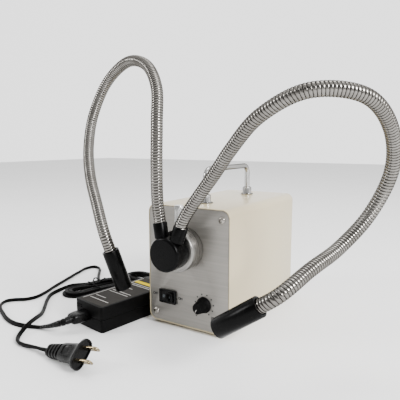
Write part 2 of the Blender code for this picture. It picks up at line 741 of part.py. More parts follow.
def make_feet(housing):
    top = HOUSING_WALL + GAP
    profile = [
        (0, -FOOT_HEIGHT), (FOOT_RADIUS - FOOT_CHAMFER, -FOOT_HEIGHT),
        (FOOT_RADIUS, FOOT_CHAMFER - FOOT_HEIGHT), (FOOT_RADIUS, -GAP), (FOOT_STEM_RADIUS, -GAP),
        (FOOT_STEM_RADIUS, top), (FOOT_BARB_RADIUS, top),
        (FOOT_STEM_RADIUS, top + FOOT_BARB_HEIGHT), (0, top + FOOT_BARB_HEIGHT),
    ]
    for index, (x, y) in enumerate(foot_places()):
        smooth(piece(f"foot_{index + 1}", turned(profile, 10), RUBBER, housing, (x, y, 0)))


def make_handle(housing):
    top = HOUSING_HEIGHT + HANDLE_HEIGHT
    low = HOUSING_HEIGHT - HOUSING_WALL - HANDLE_TAIL
    steps = HANDLE_BEND_STEPS
    points = [(HANDLE_PLACE_X, HANDLE_FRONT_Y, low)]
    for step in range(steps + 1):
        turn = step / steps * TURN / 4
        y = HANDLE_FRONT_Y + HANDLE_BEND * (1 - math.cos(turn))
        points.append((HANDLE_PLACE_X, y, top - HANDLE_BEND * (1 - math.sin(turn))))
    for step in range(steps + 1):
        turn = step / steps * TURN / 4
        y = HANDLE_REAR_Y - HANDLE_BEND * (1 - math.sin(turn))
        points.append((HANDLE_PLACE_X, y, top - HANDLE_BEND * (1 - math.cos(turn))))
    points.append((HANDLE_PLACE_X, HANDLE_REAR_Y, low))
    cord_piece("handle_bar", points, HANDLE_ROD_RADIUS, CHROME, housing, 4)
    bore = HANDLE_ROD_RADIUS + GAP
    tall = NUT_FLANGE_HEIGHT + NUT_HEIGHT
    profile = [
        (bore, GAP), (NUT_FLANGE_RADIUS, GAP), (NUT_FLANGE_RADIUS, NUT_FLANGE_HEIGHT),
        (NUT_RADIUS, NUT_FLANGE_HEIGHT), (NUT_RADIUS, tall - NUT_CHAMFER),
        (NUT_RADIUS - NUT_CHAMFER, tall), (bore, tall),
    ]
    for name, y in (("handle_nut_front", HANDLE_FRONT_Y), ("handle_nut_rear", HANDLE_REAR_Y)):
        smooth(piece(name, turned(profile, 12, True), CHROME, housing, (HANDLE_PLACE_X, y, HOUSING_HEIGHT)))


def make_barrel(front):
    bore = SPIGOT_RADIUS + GAP
    seat = GAP - PANEL_RECESS
    back = -PANEL_RECESS - PANEL_THICKNESS - NECK_LENGTH
    profile = [
        (bore, back), (NECK_RADIUS, back), (NECK_RADIUS, seat), (BARREL_RADIUS, seat),
        (BARREL_RADIUS, BARREL_LENGTH - BARREL_CHAMFER), (BARREL_RADIUS - BARREL_CHAMFER, BARREL_LENGTH),
        (bore, BARREL_LENGTH),
    ]
    barrel = piece("light_port_barrel", turned(profile, 28, True), BRIGHT, front, (PORT_X, PORT_Z, 0))
    upward = Matrix.Rotation(-TURN / 4, 4, "X")
    hole = prism(circle(CLAMP_SHANK_RADIUS + GAP, 12), SPIGOT_NOSE_RADIUS, BARREL_RADIUS + OVERRUN)
    cut(barrel, "clamp_hole_cut", hole, front, (PORT_X, PORT_Z, CLAMP_Y), upward)
    return smooth(barrel)


def make_thumbscrew(housing):
    tip = SPIGOT_RADIUS + GAP
    head = BARREL_RADIUS + CLAMP_LIFT
    top = head + CLAMP_GRIP
    place = (PORT_X, -CLAMP_Y, PORT_Z)
    shank = [(0, tip), (CLAMP_SHANK_RADIUS, tip), (CLAMP_SHANK_RADIUS, top), (0, top)]
    smooth(piece("thumbscrew_shank", turned(shank, 12), STEEL, housing, place))
    end = head + CLAMP_HEAD_LENGTH
    bore = CLAMP_SHANK_RADIUS + GAP
    edge = CLAMP_HEAD_RADIUS - CLAMP_HEAD_CHAMFER
    profile = [
        (0, top + GAP), (bore, top + GAP), (bore, head), (edge, head),
        (CLAMP_HEAD_RADIUS, head + CLAMP_HEAD_CHAMFER), (CLAMP_HEAD_RADIUS, end - CLAMP_HEAD_CHAMFER),
        (edge, end), (0, end),
    ]
    knurled = turned(profile, 20, flute=KNURL_DEPTH, flute_from=CLAMP_HEAD_RADIUS - KNURL_DEPTH)
    smooth(piece("thumbscrew_head", knurled, BRIGHT, housing, place), FLUTE_ANGLE)


def make_spigot_and_hub(front):
    inner_end = -SPIGOT_REACH
    seat = BARREL_LENGTH
    nose = seat + SPIGOT_NOSE_LENGTH
    spigot = [
        (0, inner_end + SPIGOT_FACE_DEPTH), (SPIGOT_FACE_RADIUS, inner_end + SPIGOT_FACE_DEPTH),
        (SPIGOT_FACE_RADIUS, inner_end), (SPIGOT_RADIUS, inner_end), (SPIGOT_RADIUS, seat),
        (SPIGOT_NOSE_RADIUS, seat), (SPIGOT_NOSE_RADIUS, nose), (0, nose),
    ]
    smooth(piece("guide_spigot", turned(spigot, 20), STEEL, front, (PORT_X, PORT_Z, 0)))
    rear = seat + GAP
    end = rear + HUB_LENGTH
    bore = SPIGOT_NOSE_RADIUS + GAP
    hub = [
        (0, nose + GAP), (bore, nose + GAP), (bore, rear), (HUB_RADIUS - HUB_CHAMFER, rear),
        (HUB_RADIUS, rear + HUB_CHAMFER),
    ]
    for step in range(4):
        turn = step / 3 * TURN / 4
        radius = HUB_RADIUS - HUB_ROUND * (1 - math.cos(turn))
        hub.append((radius, end - HUB_ROUND * (1 - math.sin(turn))))
    hub.append((0, end))
    made = piece("guide_hub", turned(hub, 26), BLACK_METAL, front, (PORT_X, PORT_Z, 0))
    clear = COLLAR_RADIUS + GAP
    hole = COLLAR_STUB_RADIUS + GAP
    port = [
        (0, -COLLAR_STUB_LENGTH), (hole, -COLLAR_STUB_LENGTH), (hole, 0), (clear, 0),
        (clear, COLLAR_LENGTH), (0, COLLAR_LENGTH),
    ]
    for name, side in (("left", -1), ("right", 1)):
        cut(made, f"{name}_port_cut", turned(port, 14), front.parent, *collar_seat(side))
    return smooth(made)


def collar_seat(side):
    """Where a collar meets the hub and how it stands, in the housing frame."""
    turn = Matrix.Rotation(HUB_TURN, 4, "Y")
    middle = Vector((PORT_X, -BARREL_LENGTH - GAP - HUB_LENGTH / 2, PORT_Z))
    place = middle + turn @ Vector((side * COLLAR_SPREAD, 0, COLLAR_LIFT))
    return place, turn @ Matrix.Rotation(side * COLLAR_LEAN, 4, "Y")


def make_collars(housing):
    bore_end = COLLAR_LENGTH - COLLAR_BORE_DEPTH
    foot = GAP - COLLAR_STUB_LENGTH
    profile = [
        (0, bore_end), (HOSE_BORE, bore_end), (HOSE_BORE, COLLAR_LENGTH),
        (COLLAR_RADIUS - COLLAR_CHAMFER, COLLAR_LENGTH), (COLLAR_RADIUS, COLLAR_LENGTH - COLLAR_CHAMFER),
        (COLLAR_RADIUS, GAP), (COLLAR_STUB_RADIUS, GAP), (COLLAR_STUB_RADIUS, foot), (0, foot),
    ]
    for name, side in (("left", -1), ("right", 1)):
        smooth(piece(f"{name}_collar", turned(profile, 14), BLACK_METAL, housing, *collar_seat(side)))


def arm_route(side):
    """The gooseneck's centre line, from the hinge in its collar to the back of its nozzle."""
    place, turn = collar_seat(side)
    axis = turn.to_3x3() @ Vector((0, 0, 1))
    start = place + axis * (COLLAR_LENGTH + HINGE_CLEARANCE)
    shares = LEFT_ROUTE_SHARES if side < 0 else RIGHT_ROUTE_SHARES
    return Route([start + Vector(share) * ARM_LENGTH for share in shares])


def hose_stations(route, start, end):
    """Points and radii of one stretch: its ball, its neck, then its ribs."""
    hinge, heading = route.at(start), route.heading(start)
    points, radii = [], []
    for share in BALL_SHARES:
        reach = BALL_RADIUS * share
        points.append(hinge + heading * reach)
        radii.append(math.sqrt(BALL_RADIUS * BALL_RADIUS - reach * reach))
    first = start + HINGE_CLEARANCE
    pitch = (end - first) / (RIB_COUNT * 2)
    for index in range(RIB_COUNT * 2 + 1):
        points.append(route.at(first + index * pitch))
        radii.append(HOSE_RADIUS if index % 2 else HOSE_VALLEY)
    return points, radii


def bore_stations(route, start, end):
    """A narrow bore through the ball and its neck, then the plain bore of the hose."""
    hinge, heading = route.at(start), route.heading(start)
    neck_end = start + HINGE_CLEARANCE + BALL_NECK_LENGTH
    points = [hinge - heading * (BALL_RADIUS + OVERRUN), hinge, route.at(neck_end)]
    radii = [BALL_BORE, BALL_BORE, BALL_BORE]
    wide = neck_end + BALL_NECK_LENGTH
    for index in range(BORE_STEPS + 1):
        points.append(route.at(wide + (end + OVERRUN - wide) * index / BORE_STEPS))
        radii.append(HOSE_BORE)
    return points, radii


def make_arm(housing, name, side):
    route = arm_route(side)
    stretch = route.length / STRETCH_COUNT
    for index in range(STRETCH_COUNT):
        start = index * stretch
        last = index == STRETCH_COUNT - 1
        end = route.length + HOSE_SEAT if last else start + stretch - HINGE_CLEARANCE
        hinge = route.at(start)
        points, radii = hose_stations(route, start, end)
        mesh = tube_mesh("hose", [point - hinge for point in points], radii, 2)
        hose = piece(f"{name}_hose_{index + 1}", mesh, CHROME, housing, hinge)
        points, radii = bore_stations(route, start, end)
        bore = tube_mesh("bore", [point - hinge for point in points], radii, 1)
        cut(hose, f"{name}_bore_{index + 1}_cut", bore, housing, hinge)
    heading = route.heading(route.length)
    rotation = heading.to_track_quat("Z", "Y").to_matrix().to_4x4()
    make_nozzle(housing, name, route.at(route.length), rotation)


def make_nozzle(housing, name, place, rotation):
    front = NOZZLE_LENGTH
    mouth = front - NOZZLE_MOUTH_DEPTH
    outer, edge = NOZZLE_RADIUS, NOZZLE_RADIUS - NOZZLE_CHAMFER
    profile = [
        (NOZZLE_SOCKET_RADIUS, 0), (edge, 0), (outer, NOZZLE_CHAMFER), (outer, front - NOZZLE_CHAMFER),
        (edge, front), (NOZZLE_MOUTH_RADIUS, front), (NOZZLE_MOUTH_RADIUS, mouth), (NOZZLE_BORE, mouth),
        (NOZZLE_BORE, NOZZLE_SOCKET_DEPTH), (NOZZLE_SOCKET_RADIUS, NOZZLE_SOCKET_DEPTH),
    ]
    smooth(piece(f"{name}_nozzle", turned(profile, 16, True), BLACK_METAL, housing, place, rotation))
    radius = NOZZLE_MOUTH_RADIUS - GAP
    low = mouth + GAP
    high = low + WINDOW_THICKNESS
    lens = [
        (0, low), (radius, low), (radius, high - WINDOW_CROWN),
        (radius * WINDOW_SLOPE_SHARE, high - WINDOW_CROWN / 4), (0, high),
    ]
    smooth(piece(f"{name}_window", turned(lens, 12), GLASS, housing, place, rotation))


def make_led_module(front):
    face = -PANEL_RECESS - PANEL_THICKNESS - NECK_LENGTH - GAP
    back = face - LED_PLATE_THICKNESS
    half = LED_PLATE_SIZE / 2
    pitch = (LED_PLATE_SIZE - FIN_THICKNESS) / (FIN_COUNT - 1)
    comb = [(half, face), (-half, face)]
    for index in range(FIN_COUNT):
        left = index * pitch - half
        right = left + FIN_THICKNESS
        comb += [(left, back - FIN_DEPTH), (right, back - FIN_DEPTH)]
        if index < FIN_COUNT - 1:
            comb += [(right, back), (left + pitch, back)]
    shape = prism(comb, -half, half)
    stand = Matrix.Rotation(TURN / 4, 4, "X")
    place = (PORT_X, PORT_Z, 0)
    module = piece("led_module", shape, BRIGHT, front, place, stand)
    start = face - GAP
    disc = prism(circle(LED_DISC_RADIUS, 16), start, face + LED_DISC_HEIGHT)
    return add(module, "led_disc", disc, front, place)


def make_fan(front):
    back = PANEL_RECESS + PANEL_THICKNESS + GAP - HOUSING_DEPTH
    centre = (0, FAN_CENTRE_Z, 0)
    body = rounded_rect(FAN_SIZE, FAN_SIZE, FAN_CORNER, 2)
    fan = piece("fan_frame", prism(body, back, back + FAN_THICKNESS), BLACK_PLASTIC, front, centre)
    opening = prism(circle(FAN_BORE_RADIUS, 28), back - OVERRUN, back + FAN_THICKNESS + OVERRUN)
    cut(fan, "fan_bore_cut", opening, front, centre)
    seat = prism(circle(FAN_HUB_RADIUS, 20), back, back + FAN_SEAT_THICKNESS)
    add(fan, "fan_seat", seat, front, centre)
    reach = FAN_BORE_RADIUS + OVERRUN
    for index in range(FAN_STRUT_COUNT):
        outline = rectangle(reach, FAN_STRUT_WIDTH, (reach / 2, 0))
        turn = Matrix.Rotation((index + FAN_STRUT_TURN_SHARE) / FAN_STRUT_COUNT * TURN, 4, "Z")
        strut = prism(outline, back + GAP, back + FAN_SEAT_THICKNESS - GAP)
        add(fan, f"fan_strut_{index + 1}", strut, front, centre, turn)
    low = back + FAN_SEAT_THICKNESS
    pin = prism(circle(FAN_PIN_RADIUS, 12), low - GAP, low + FAN_PIN_LENGTH)
    add(fan, "fan_pin", pin, front, centre)
    make_rotor(front, centre, low + FAN_HUB_GAP, back + FAN_THICKNESS - FAN_HUB_GAP)


def make_rotor(front, centre, low, high):
    bore = FAN_PIN_RADIUS + GAP
    bore_end = low - FAN_HUB_GAP + FAN_PIN_LENGTH + GAP
    profile = [
        (0, bore_end), (bore, bore_end), (bore, low), (FAN_HUB_RADIUS, low),
        (FAN_HUB_RADIUS, high - FAN_BLADE_THICKNESS), (FAN_HUB_RADIUS - FAN_BLADE_THICKNESS, high), (0, high),
    ]
    rotor = piece("fan_rotor", turned(profile, 20), BLACK_PLASTIC, front, centre)
    tip = FAN_BORE_RADIUS - FAN_BLADE_GAP
    root = FAN_HUB_RADIUS - FAN_BLADE_THICKNESS
    chord = (high - low) * FAN_BLADE_REACH_SHARE / math.sin(FAN_BLADE_PITCH)
    middle = (low + high) / 2
    for index in range(FAN_BLADE_COUNT):
        blade = bmesh.new()
        prism(rectangle(tip - root, FAN_BLADE_THICKNESS, ((tip + root) / 2, 0)), -chord / 2, chord / 2, blade)
        tilt = Matrix.Rotation(TURN / 4 - FAN_BLADE_PITCH, 4, "X")
        around = Matrix.Rotation(index / FAN_BLADE_COUNT * TURN, 4, "Z")
        lift = Matrix.Translation((0, 0, middle))
        name = f"fan_blade_{index + 1}"
        add(rotor, name, blade, front, centre, around @ lift @ tilt)
    return rotor


def make_board(housing):
    low = HOUSING_WALL + BOARD_LIFT
    middle = BOARD_FRONT + BOARD_LENGTH / 2
    outline = rounded_rect(BOARD_WIDTH, BOARD_LENGTH, BOARD_LEG_RADIUS, 1, (0, middle))
    board = piece("driver_board", prism(outline, low, low + BOARD_THICKNESS), BOARD, housing)
    legs = bmesh.new()
    for x in (-1, 1):
        for y in (-1, 1):
            inset = BOARD_LEG_RADIUS * 2
            place = (x * (BOARD_WIDTH / 2 - inset), middle + y * (BOARD_LENGTH / 2 - inset))
            prism(circle(BOARD_LEG_RADIUS, 8, place), HOUSING_WALL + GAP, low + GAP, legs)
    return add(board, "board_legs", legs, housing)


def make_dimmer(front):
    centre = (DIAL_X, DIAL_Z, 0)
    shaft_end = POT_SHAFT_LENGTH - PANEL_RECESS
    inside = -PANEL_RECESS - PANEL_THICKNESS - GAP
    body = rounded_rect(POT_BODY_SIZE, POT_BODY_SIZE, POT_BUSH_RADIUS, 2)
    pot = piece("dimmer_pot", prism(body, inside - POT_BODY_DEPTH, inside), STEEL, front, centre)
    spindle = [
        (0, inside - GAP), (POT_BUSH_RADIUS, inside - GAP), (POT_BUSH_RADIUS, GAP), (POT_SHAFT_RADIUS, GAP),
        (POT_SHAFT_RADIUS, shaft_end), (0, shaft_end),
    ]
    add(pot, "pot_spindle", turned(spindle, 12), front, centre)
    under = GAP * 2 - PANEL_RECESS
    skirt = under + KNOB_SKIRT_HEIGHT
    top = KNOB_HEIGHT
    bore = POT_SHAFT_RADIUS + GAP
    wide = POT_BUSH_RADIUS + GAP
    step = GAP * 3
    profile = [
        (0, shaft_end + GAP), (bore, shaft_end + GAP), (bore, step), (wide, step), (wide, under),
        (KNOB_RADIUS - KNOB_CHAMFER, under), (KNOB_RADIUS, under + KNOB_CHAMFER), (KNOB_RADIUS, skirt - KNOB_CHAMFER),
        (KNOB_GRIP_RADIUS, skirt + KNOB_CHAMFER), (KNOB_TOP_RADIUS, top - KNOB_CHAMFER),
        (KNOB_TOP_RADIUS - KNOB_CHAMFER, top), (0, top),
    ]
    knob = turned(profile, 20, flute=KNOB_FLUTE, flute_from=KNOB_TOP_RADIUS - KNOB_CHAMFER / 2)
    smooth(piece("dimmer_knob", knob, BLACK_PLASTIC, front, centre), FLUTE_ANGLE)


def make_switch(front, housing):
    centre = (SWITCH_X, SWITCH_Z, 0)
    seat = GAP - PANEL_RECESS
    proud = seat + BEZEL_PROUD
    body = prism(
        rounded_rect(SWITCH_BODY_WIDTH, SWITCH_BODY_HEIGHT, SWITCH_CORNER / 2, 1), -SWITCH_BODY_DEPTH, proud - GAP
    )
    switch = piece("switch_body", body, BLACK_PLASTIC, front, centre)
    bezel = prism(rounded_rect(BEZEL_WIDTH, BEZEL_HEIGHT, SWITCH_CORNER, 2), seat, proud)
    add(switch, "switch_bezel", bezel, front, centre)
    width = (ROCKER_RADIUS + GAP) * 2
    height = ROCKER_HEIGHT + GAP * 2
    pocket = prism(rectangle(width, height), -SWITCH_POCKET_DEPTH, proud + OVERRUN)
    cut(switch, "pocket_cut", pocket, front, centre)
    upward = Matrix.Rotation(-TURN / 4, 4, "X")
    reach = ROCKER_HEIGHT / 2 + ROCKER_PIN_LENGTH + GAP
    socket = prism(circle(ROCKER_PIN_RADIUS + GAP, 10), -reach, reach)
    cut(switch, "pin_socket_cut", socket, front, (SWITCH_X, SWITCH_Z, -PANEL_RECESS), upward)
    make_rocker(housing)


def make_rocker(housing):
    outline = []
    for step in range(4):
        turn = ROCKER_TOP_ANGLE + (ROCKER_LOW_ANGLE - ROCKER_TOP_ANGLE) * step / 3
        outline.append((ROCKER_RADIUS * math.cos(turn), -ROCKER_RADIUS * math.sin(turn)))
    outline += [(-x, y) for x, y in reversed(outline)]
    outline.append((0, -ROCKER_DIP))
    half = ROCKER_HEIGHT / 2
    place = (SWITCH_X, PANEL_RECESS, SWITCH_Z)
    rest = Matrix.Rotation(-ROCKER_TILT, 4, "Z")
    rocker = piece("switch_rocker", prism(outline, -half, half), BLACK_PLASTIC, housing, place, rest)
    reach = half + ROCKER_PIN_LENGTH
    add(rocker, "rocker_pin", prism(circle(ROCKER_PIN_RADIUS, 8), -reach, reach), housing, place, rest)
    return rocker


def make_jack(front):
    inside = PANEL_RECESS + PANEL_THICKNESS + GAP - HOUSING_DEPTH
    outside = PANEL_RECESS - JACK_PROUD - HOUSING_DEPTH
    centre = (JACK_X, JACK_Z, 0)
    body = rounded_rect(JACK_BODY_SIZE, JACK_BODY_SIZE, SWITCH_CORNER, 1)
    jack = piece("dc_jack", prism(body, inside, inside + JACK_BODY_DEPTH), BLACK_PLASTIC, front, centre)
    add(jack, "jack_bush", prism(circle(JACK_BUSH_RADIUS, 16), outside, inside + GAP), front, centre)
    ring = [
        (JACK_PIN_RADIUS, outside - OVERRUN), (JACK_BORE_RADIUS, outside - OVERRUN),
        (JACK_BORE_RADIUS, outside + JACK_BORE_DEPTH), (JACK_PIN_RADIUS, outside + JACK_BORE_DEPTH),
    ]
    cut(jack, "jack_bore_cut", turned(ring, 16, True), front, centre)
    back = outside - GAP
    sleeve = JACK_BORE_RADIUS - GAP
    tip = outside + JACK_BORE_DEPTH - GAP
    tail = back - DC_PLUG_LENGTH
    end = tail - DC_RELIEF_LENGTH
    bevel = DC_PLUG_CHAMFER
    profile = [
        (0, end), (DC_CORD_RADIUS + bevel, end), (DC_RELIEF_RADIUS, tail),
        (DC_PLUG_RADIUS - bevel, tail), (DC_PLUG_RADIUS, tail + bevel), (DC_PLUG_RADIUS, back - bevel),
        (DC_PLUG_RADIUS - bevel, back), (sleeve, back), (sleeve, tip), (PLUG_SLEEVE_BORE, tip),
        (PLUG_SLEEVE_BORE, back), (0, back),
    ]
    smooth(piece("dc_plug", turned(profile, 16), BLACK_PLASTIC, front, centre))


def make_adapter(adapter):
    across = ADAPTER_WIDTH / 2
    outline = rounded_rect(ADAPTER_WIDTH, ADAPTER_LENGTH, ADAPTER_CORNER, 3, (-across, ADAPTER_LENGTH / 2))
    middle = ADAPTER_HEIGHT / 2
    base = piece("adapter_base", prism(outline, 0, middle), BLACK_PLASTIC, adapter)
    lid = piece("adapter_lid", prism(outline, middle + GAP, ADAPTER_HEIGHT), BLACK_PLASTIC, adapter)
    forward = Matrix.Rotation(TURN / 4, 4, "X")
    backward = Matrix.Rotation(-TURN / 4, 4, "X")
    far = (-across, ADAPTER_LENGTH, middle)
    for part in (base, lid):
        soften(part, ADAPTER_BEVEL)
        inlet = rounded_rect(INLET_WIDTH, INLET_HEIGHT, INLET_HEIGHT * CORNER_SHARE, 2)
        place = (-INLET_ACROSS, 0, middle)
        cut(part, f"{part.name}_inlet_cut", prism(inlet, -INLET_DEPTH, OVERRUN), adapter, place, forward)
    clear = ADAPTER_RELIEF_RADIUS + GAP
    cut(lid, "outlet_cut", prism(circle(clear, 14), -ADAPTER_RELIEF_FLANGE - GAP, OVERRUN), adapter, far, backward)
    end = ADAPTER_RELIEF_LENGTH
    relief = [
        (0, -ADAPTER_RELIEF_FLANGE), (ADAPTER_RELIEF_RADIUS, -ADAPTER_RELIEF_FLANGE),
        (ADAPTER_RELIEF_RADIUS, ADAPTER_RELIEF_FLANGE), (ADAPTER_RELIEF_RADIUS * WAIST_SHARE, ADAPTER_RELIEF_FLANGE),
        (DC_CORD_RADIUS + GAP * 2, end), (0, end),
    ]
    add(base, "outlet_relief", turned(relief, 12), adapter, far, backward)
    return base, lid


def make_connector(adapter, table):
    middle = ADAPTER_HEIGHT / 2
    forward = Matrix.Rotation(TURN / 4, 4, "X")
    place = (-INLET_ACROSS, 0, middle)
    nose = rounded_rect(NOSE_WIDTH, NOSE_HEIGHT, NOSE_HEIGHT * CORNER_SHARE, 2)
    grip = rounded_rect(GRIP_WIDTH, GRIP_HEIGHT, GRIP_HEIGHT * GRIP_CORNER_SHARE, 3)
    body = prism(grip, GAP, GRIP_LENGTH)
    connector = piece("mains_connector", body, BLACK_PLASTIC, adapter, place, forward)
    soften(connector, GRIP_BEVEL)
    add(connector, "connector_nose", prism(nose, GAP * 2 - INLET_DEPTH, GAP * 3), adapter, place, forward)
    route = Route(RELIEF_ROUTE)
    count = RELIEF_RIB_COUNT * 2
    points, radii = [], []
    for index in range(count + 1):
        share = index / count
        points.append(route.at(route.length * share))
        radius = RELIEF_START_RADIUS + (RELIEF_END_RADIUS - RELIEF_START_RADIUS) * share
        radii.append(radius if index % 2 == 0 else radius - RELIEF_RIB)
    points.insert(0, route.at(-GRIP_BEVEL * 2))
    radii.insert(0, RELIEF_START_RADIUS)
    return add(connector, "connector_relief", tube_mesh("relief", points, radii, 2), table)


def plug_sections():
    """Width, height and corner of the mains plug's body, from the flange back to the cord."""
    flange, body = -PLUG_FLANGE_THICKNESS, -PLUG_BODY_LENGTH
    sections = [
        (0, PLUG_FLANGE_WIDTH, PLUG_FLANGE_HEIGHT), (flange, PLUG_FLANGE_WIDTH, PLUG_FLANGE_HEIGHT),
        (-PLUG_SHOULDER_LENGTH, PLUG_WAIST_WIDTH, PLUG_WAIST_HEIGHT),
        (body, PLUG_WAIST_WIDTH * PLUG_TAPER_SHARE, PLUG_WAIST_HEIGHT * PLUG_TAPER_SHARE),
    ]
    pitch = (PLUG_LENGTH - PLUG_BODY_LENGTH) / (PLUG_RIB_COUNT * 2)
    wide, tall = PLUG_WAIST_WIDTH * PLUG_RIB_SHARE, PLUG_WAIST_HEIGHT * PLUG_RIB_SHARE
    for index in range(1, PLUG_RIB_COUNT * 2 + 1):
        share = index / (PLUG_RIB_COUNT * 2)
        width = wide + (PLUG_TAIL_WIDTH - wide) * share
        height = tall + (PLUG_TAIL_HEIGHT - tall) * share
        inset = PLUG_RIB_DEPTH * 2 if index % 2 else 0
        sections.append((body - pitch * index, width - inset, height - inset))
    return sections


def make_plug(table):
    """The mains plug: blades point along +x of its own frame, the flange's width lies along y."""
    turn = Matrix.Rotation(PLUG_HEADING, 4, "Z") @ Matrix.Rotation(-PLUG_RISE, 4, "Y")
    plug = frame("plug_frame", PLUG_PLACE, turn @ Matrix.Rotation(PLUG_ROLL, 4, "X"), table)
    shape = bmesh.new()
    rings = []
    for x, width, height in plug_sections():
        corner = min(PLUG_CORNER, height * PLUG_CORNER_SHARE)
        outline = rounded_rect(width, height, corner, 3)
        rings.append([shape.verts.new((x, y, z)) for y, z in outline])
    for near, far in zip(rings, rings[1:]):
        for index in range(len(near)):
            after = (index + 1) % len(near)
            shape.faces.new((near[index], near[after], far[after], far[index]))
    shape.faces.new(rings[0])
    shape.faces.new(rings[-1])
    body = piece("plug_body", shape, BLACK_PLASTIC, plug)
    rim = rounded_rect(
        PLUG_FLANGE_WIDTH - PLUG_RIM_DEPTH * 3, PLUG_FLANGE_HEIGHT - PLUG_RIM_DEPTH * 3, PLUG_CORNER * PLUG_RIM_SHARE, 3
    )
    sideways = Matrix.Rotation(TURN / 4, 4, "Z") @ Matrix.Rotation(TURN / 4, 4, "X")
    cut(body, "plug_face_cut", prism(rim, -PLUG_RIM_DEPTH, OVERRUN), plug, rotation=sideways)
    slots = bmesh.new()
    for side in (-1, 1):
        centre = (side * BLADE_SPACING / 2, 0)
        outline = rectangle(BLADE_THICKNESS + GAP * 2, BLADE_WIDTH + GAP * 2, centre)
        prism(outline, -BLADE_ROOT, OVERRUN, slots)
    cut(body, "plug_slot_cut", slots, plug, rotation=sideways)
    for index, side in enumerate((-1, 1)):
        make_blade(plug, index + 1, side)


def make_blade(plug, number, side):
    half = BLADE_WIDTH / 2
    nib = BLADE_THICKNESS
    root = GAP - BLADE_ROOT
    outline = [
        (root, -half), (BLADE_LENGTH - nib, -half), (BLADE_LENGTH, nib - half),
        (BLADE_LENGTH, half - nib), (BLADE_LENGTH - nib, half), (root, half),
    ]
    edge = BLADE_THICKNESS / 2
    flat = Matrix.Rotation(TURN / 4, 4, "X")
    place = (0, side * BLADE_SPACING / 2, 0)
    blade = piece(f"plug_blade_{number}", prism(outline, -edge, edge), BRASS, plug, place, flat)
    centre = (BLADE_LENGTH - BLADE_HOLE_BACK, 0)
    hole = prism(circle(BLADE_HOLE_RADIUS, 12, centre), -edge - OVERRUN, edge + OVERRUN)
    return cut(blade, f"blade_{number}_hole_cut", hole, plug, place, flat)


def even_points(route, step):
    count = max(2, round(route.length / step))
    return [route.at(route.length * index / count) for index in range(count + 1)]


def quarter_loop(share, run, bend):
    """A quarter of a loop, from the middle of its run to the tip of its fold."""
    if share < HANK_RUN_SHARE:
        along = run * share / HANK_RUN_SHARE
        waist = 1 - (along / run) ** 2
        return along, bend - HANK_PINCH * waist * waist
    turn = (share - HANK_RUN_SHARE) / (1 - HANK_RUN_SHARE) * TURN / 4
    return run + bend * math.sin(turn), bend * math.cos(turn)


def hank_point(turns, total, half_length, half_width, spacing, lift, radius):
    """A hank's cord after some turns: it spirals in and out again, a layer up on the way out."""
    bend = half_width - spacing * min(turns, total - turns)
    quarter, share = divmod(turns % 1 * 4, 1)
    back = quarter in (1, 3)
    along, across = quarter_loop(1 - share if back else share, half_length - half_width, bend)
    along *= -1 if quarter < 2 else 1
    across *= 1 if quarter in (1, 2) else -1
    climb = (turns - total / 2) / HANK_CLIMB_SHARE + HALF_SHARE
    climb = min(max(climb, 0), 1)
    height = radius + HANK_REST + lift * climb * climb * (3 - climb * 2)
    return Vector((across, along, height))


def hank_points(total, mirrored, half_length, half_width, spacing, lift, radius):
    count = round(total * LOOP_POINTS)
    points = []
    for index in range(count + 1):
        turns = index / LOOP_POINTS
        point = hank_point(turns, total, half_length, half_width, spacing, lift, radius)
        points.append(Vector((point.x * (-1 if mirrored else 1), point.y, point.z)))
    return points


def least_gap(points, radius):
    """The least gap between turns that don't follow one another, measured on points along them."""
    dense = []
    for near, far in zip(points, points[1:]):
        dense += [near.lerp(far, step / GAP_STEPS) for step in range(GAP_STEPS)]
    apart = LOOP_POINTS * GAP_STEPS // 2
    least = min(
        (dense[i] - dense[j]).length
        for i in range(len(dense)) for j in range(i + apart, len(dense))
    )
    return least - radius * 2


def make_hank(name, table, centre, turn, points, radius):
    mesh = tube_mesh(name, points, [radius] * len(points), 1)
    piece(name, mesh, CORD, table, (*centre, 0), Matrix.Rotation(turn, 4, "Z"))
    print(name, "least gap between turns:", round(least_gap(points, radius) * 1000, 2), "mm")


def lead(name, route, step, radius, table):
    cord_piece(name, even_points(Route(route), step), radius, CORD, table)


def make_leads(table):
    mains = hank_points(
        MAINS_HANK_TURNS, False, HANK_HALF_LENGTH, HANK_HALF_WIDTH, HANK_SPACING, HANK_LIFT, MAINS_RADIUS
    )
    make_hank("mains_hank", table, MAINS_HANK_CENTRE, -MAINS_HANK_TURN, mains, MAINS_RADIUS)
    low_voltage = hank_points(
        DC_HANK_TURNS, True, DC_HANK_HALF_LENGTH, DC_HANK_HALF_WIDTH, DC_HANK_SPACING, DC_HANK_LIFT, DC_CORD_RADIUS
    )
    make_hank("dc_hank", table, DC_HANK_CENTRE, DC_HANK_TURN, low_voltage, DC_CORD_RADIUS)
    lead("mains_cord_a", MAINS_ROUTE_A, MAINS_STEP, MAINS_RADIUS, table)
    lead("mains_cord_b", MAINS_ROUTE_B, MAINS_STEP, MAINS_RADIUS, table)
    lead("dc_cord_a", DC_ROUTE_A, DC_STEP, DC_CORD_RADIUS, table)
    lead("dc_cord_b", DC_ROUTE_B, DC_STEP, DC_CORD_RADIUS, table)


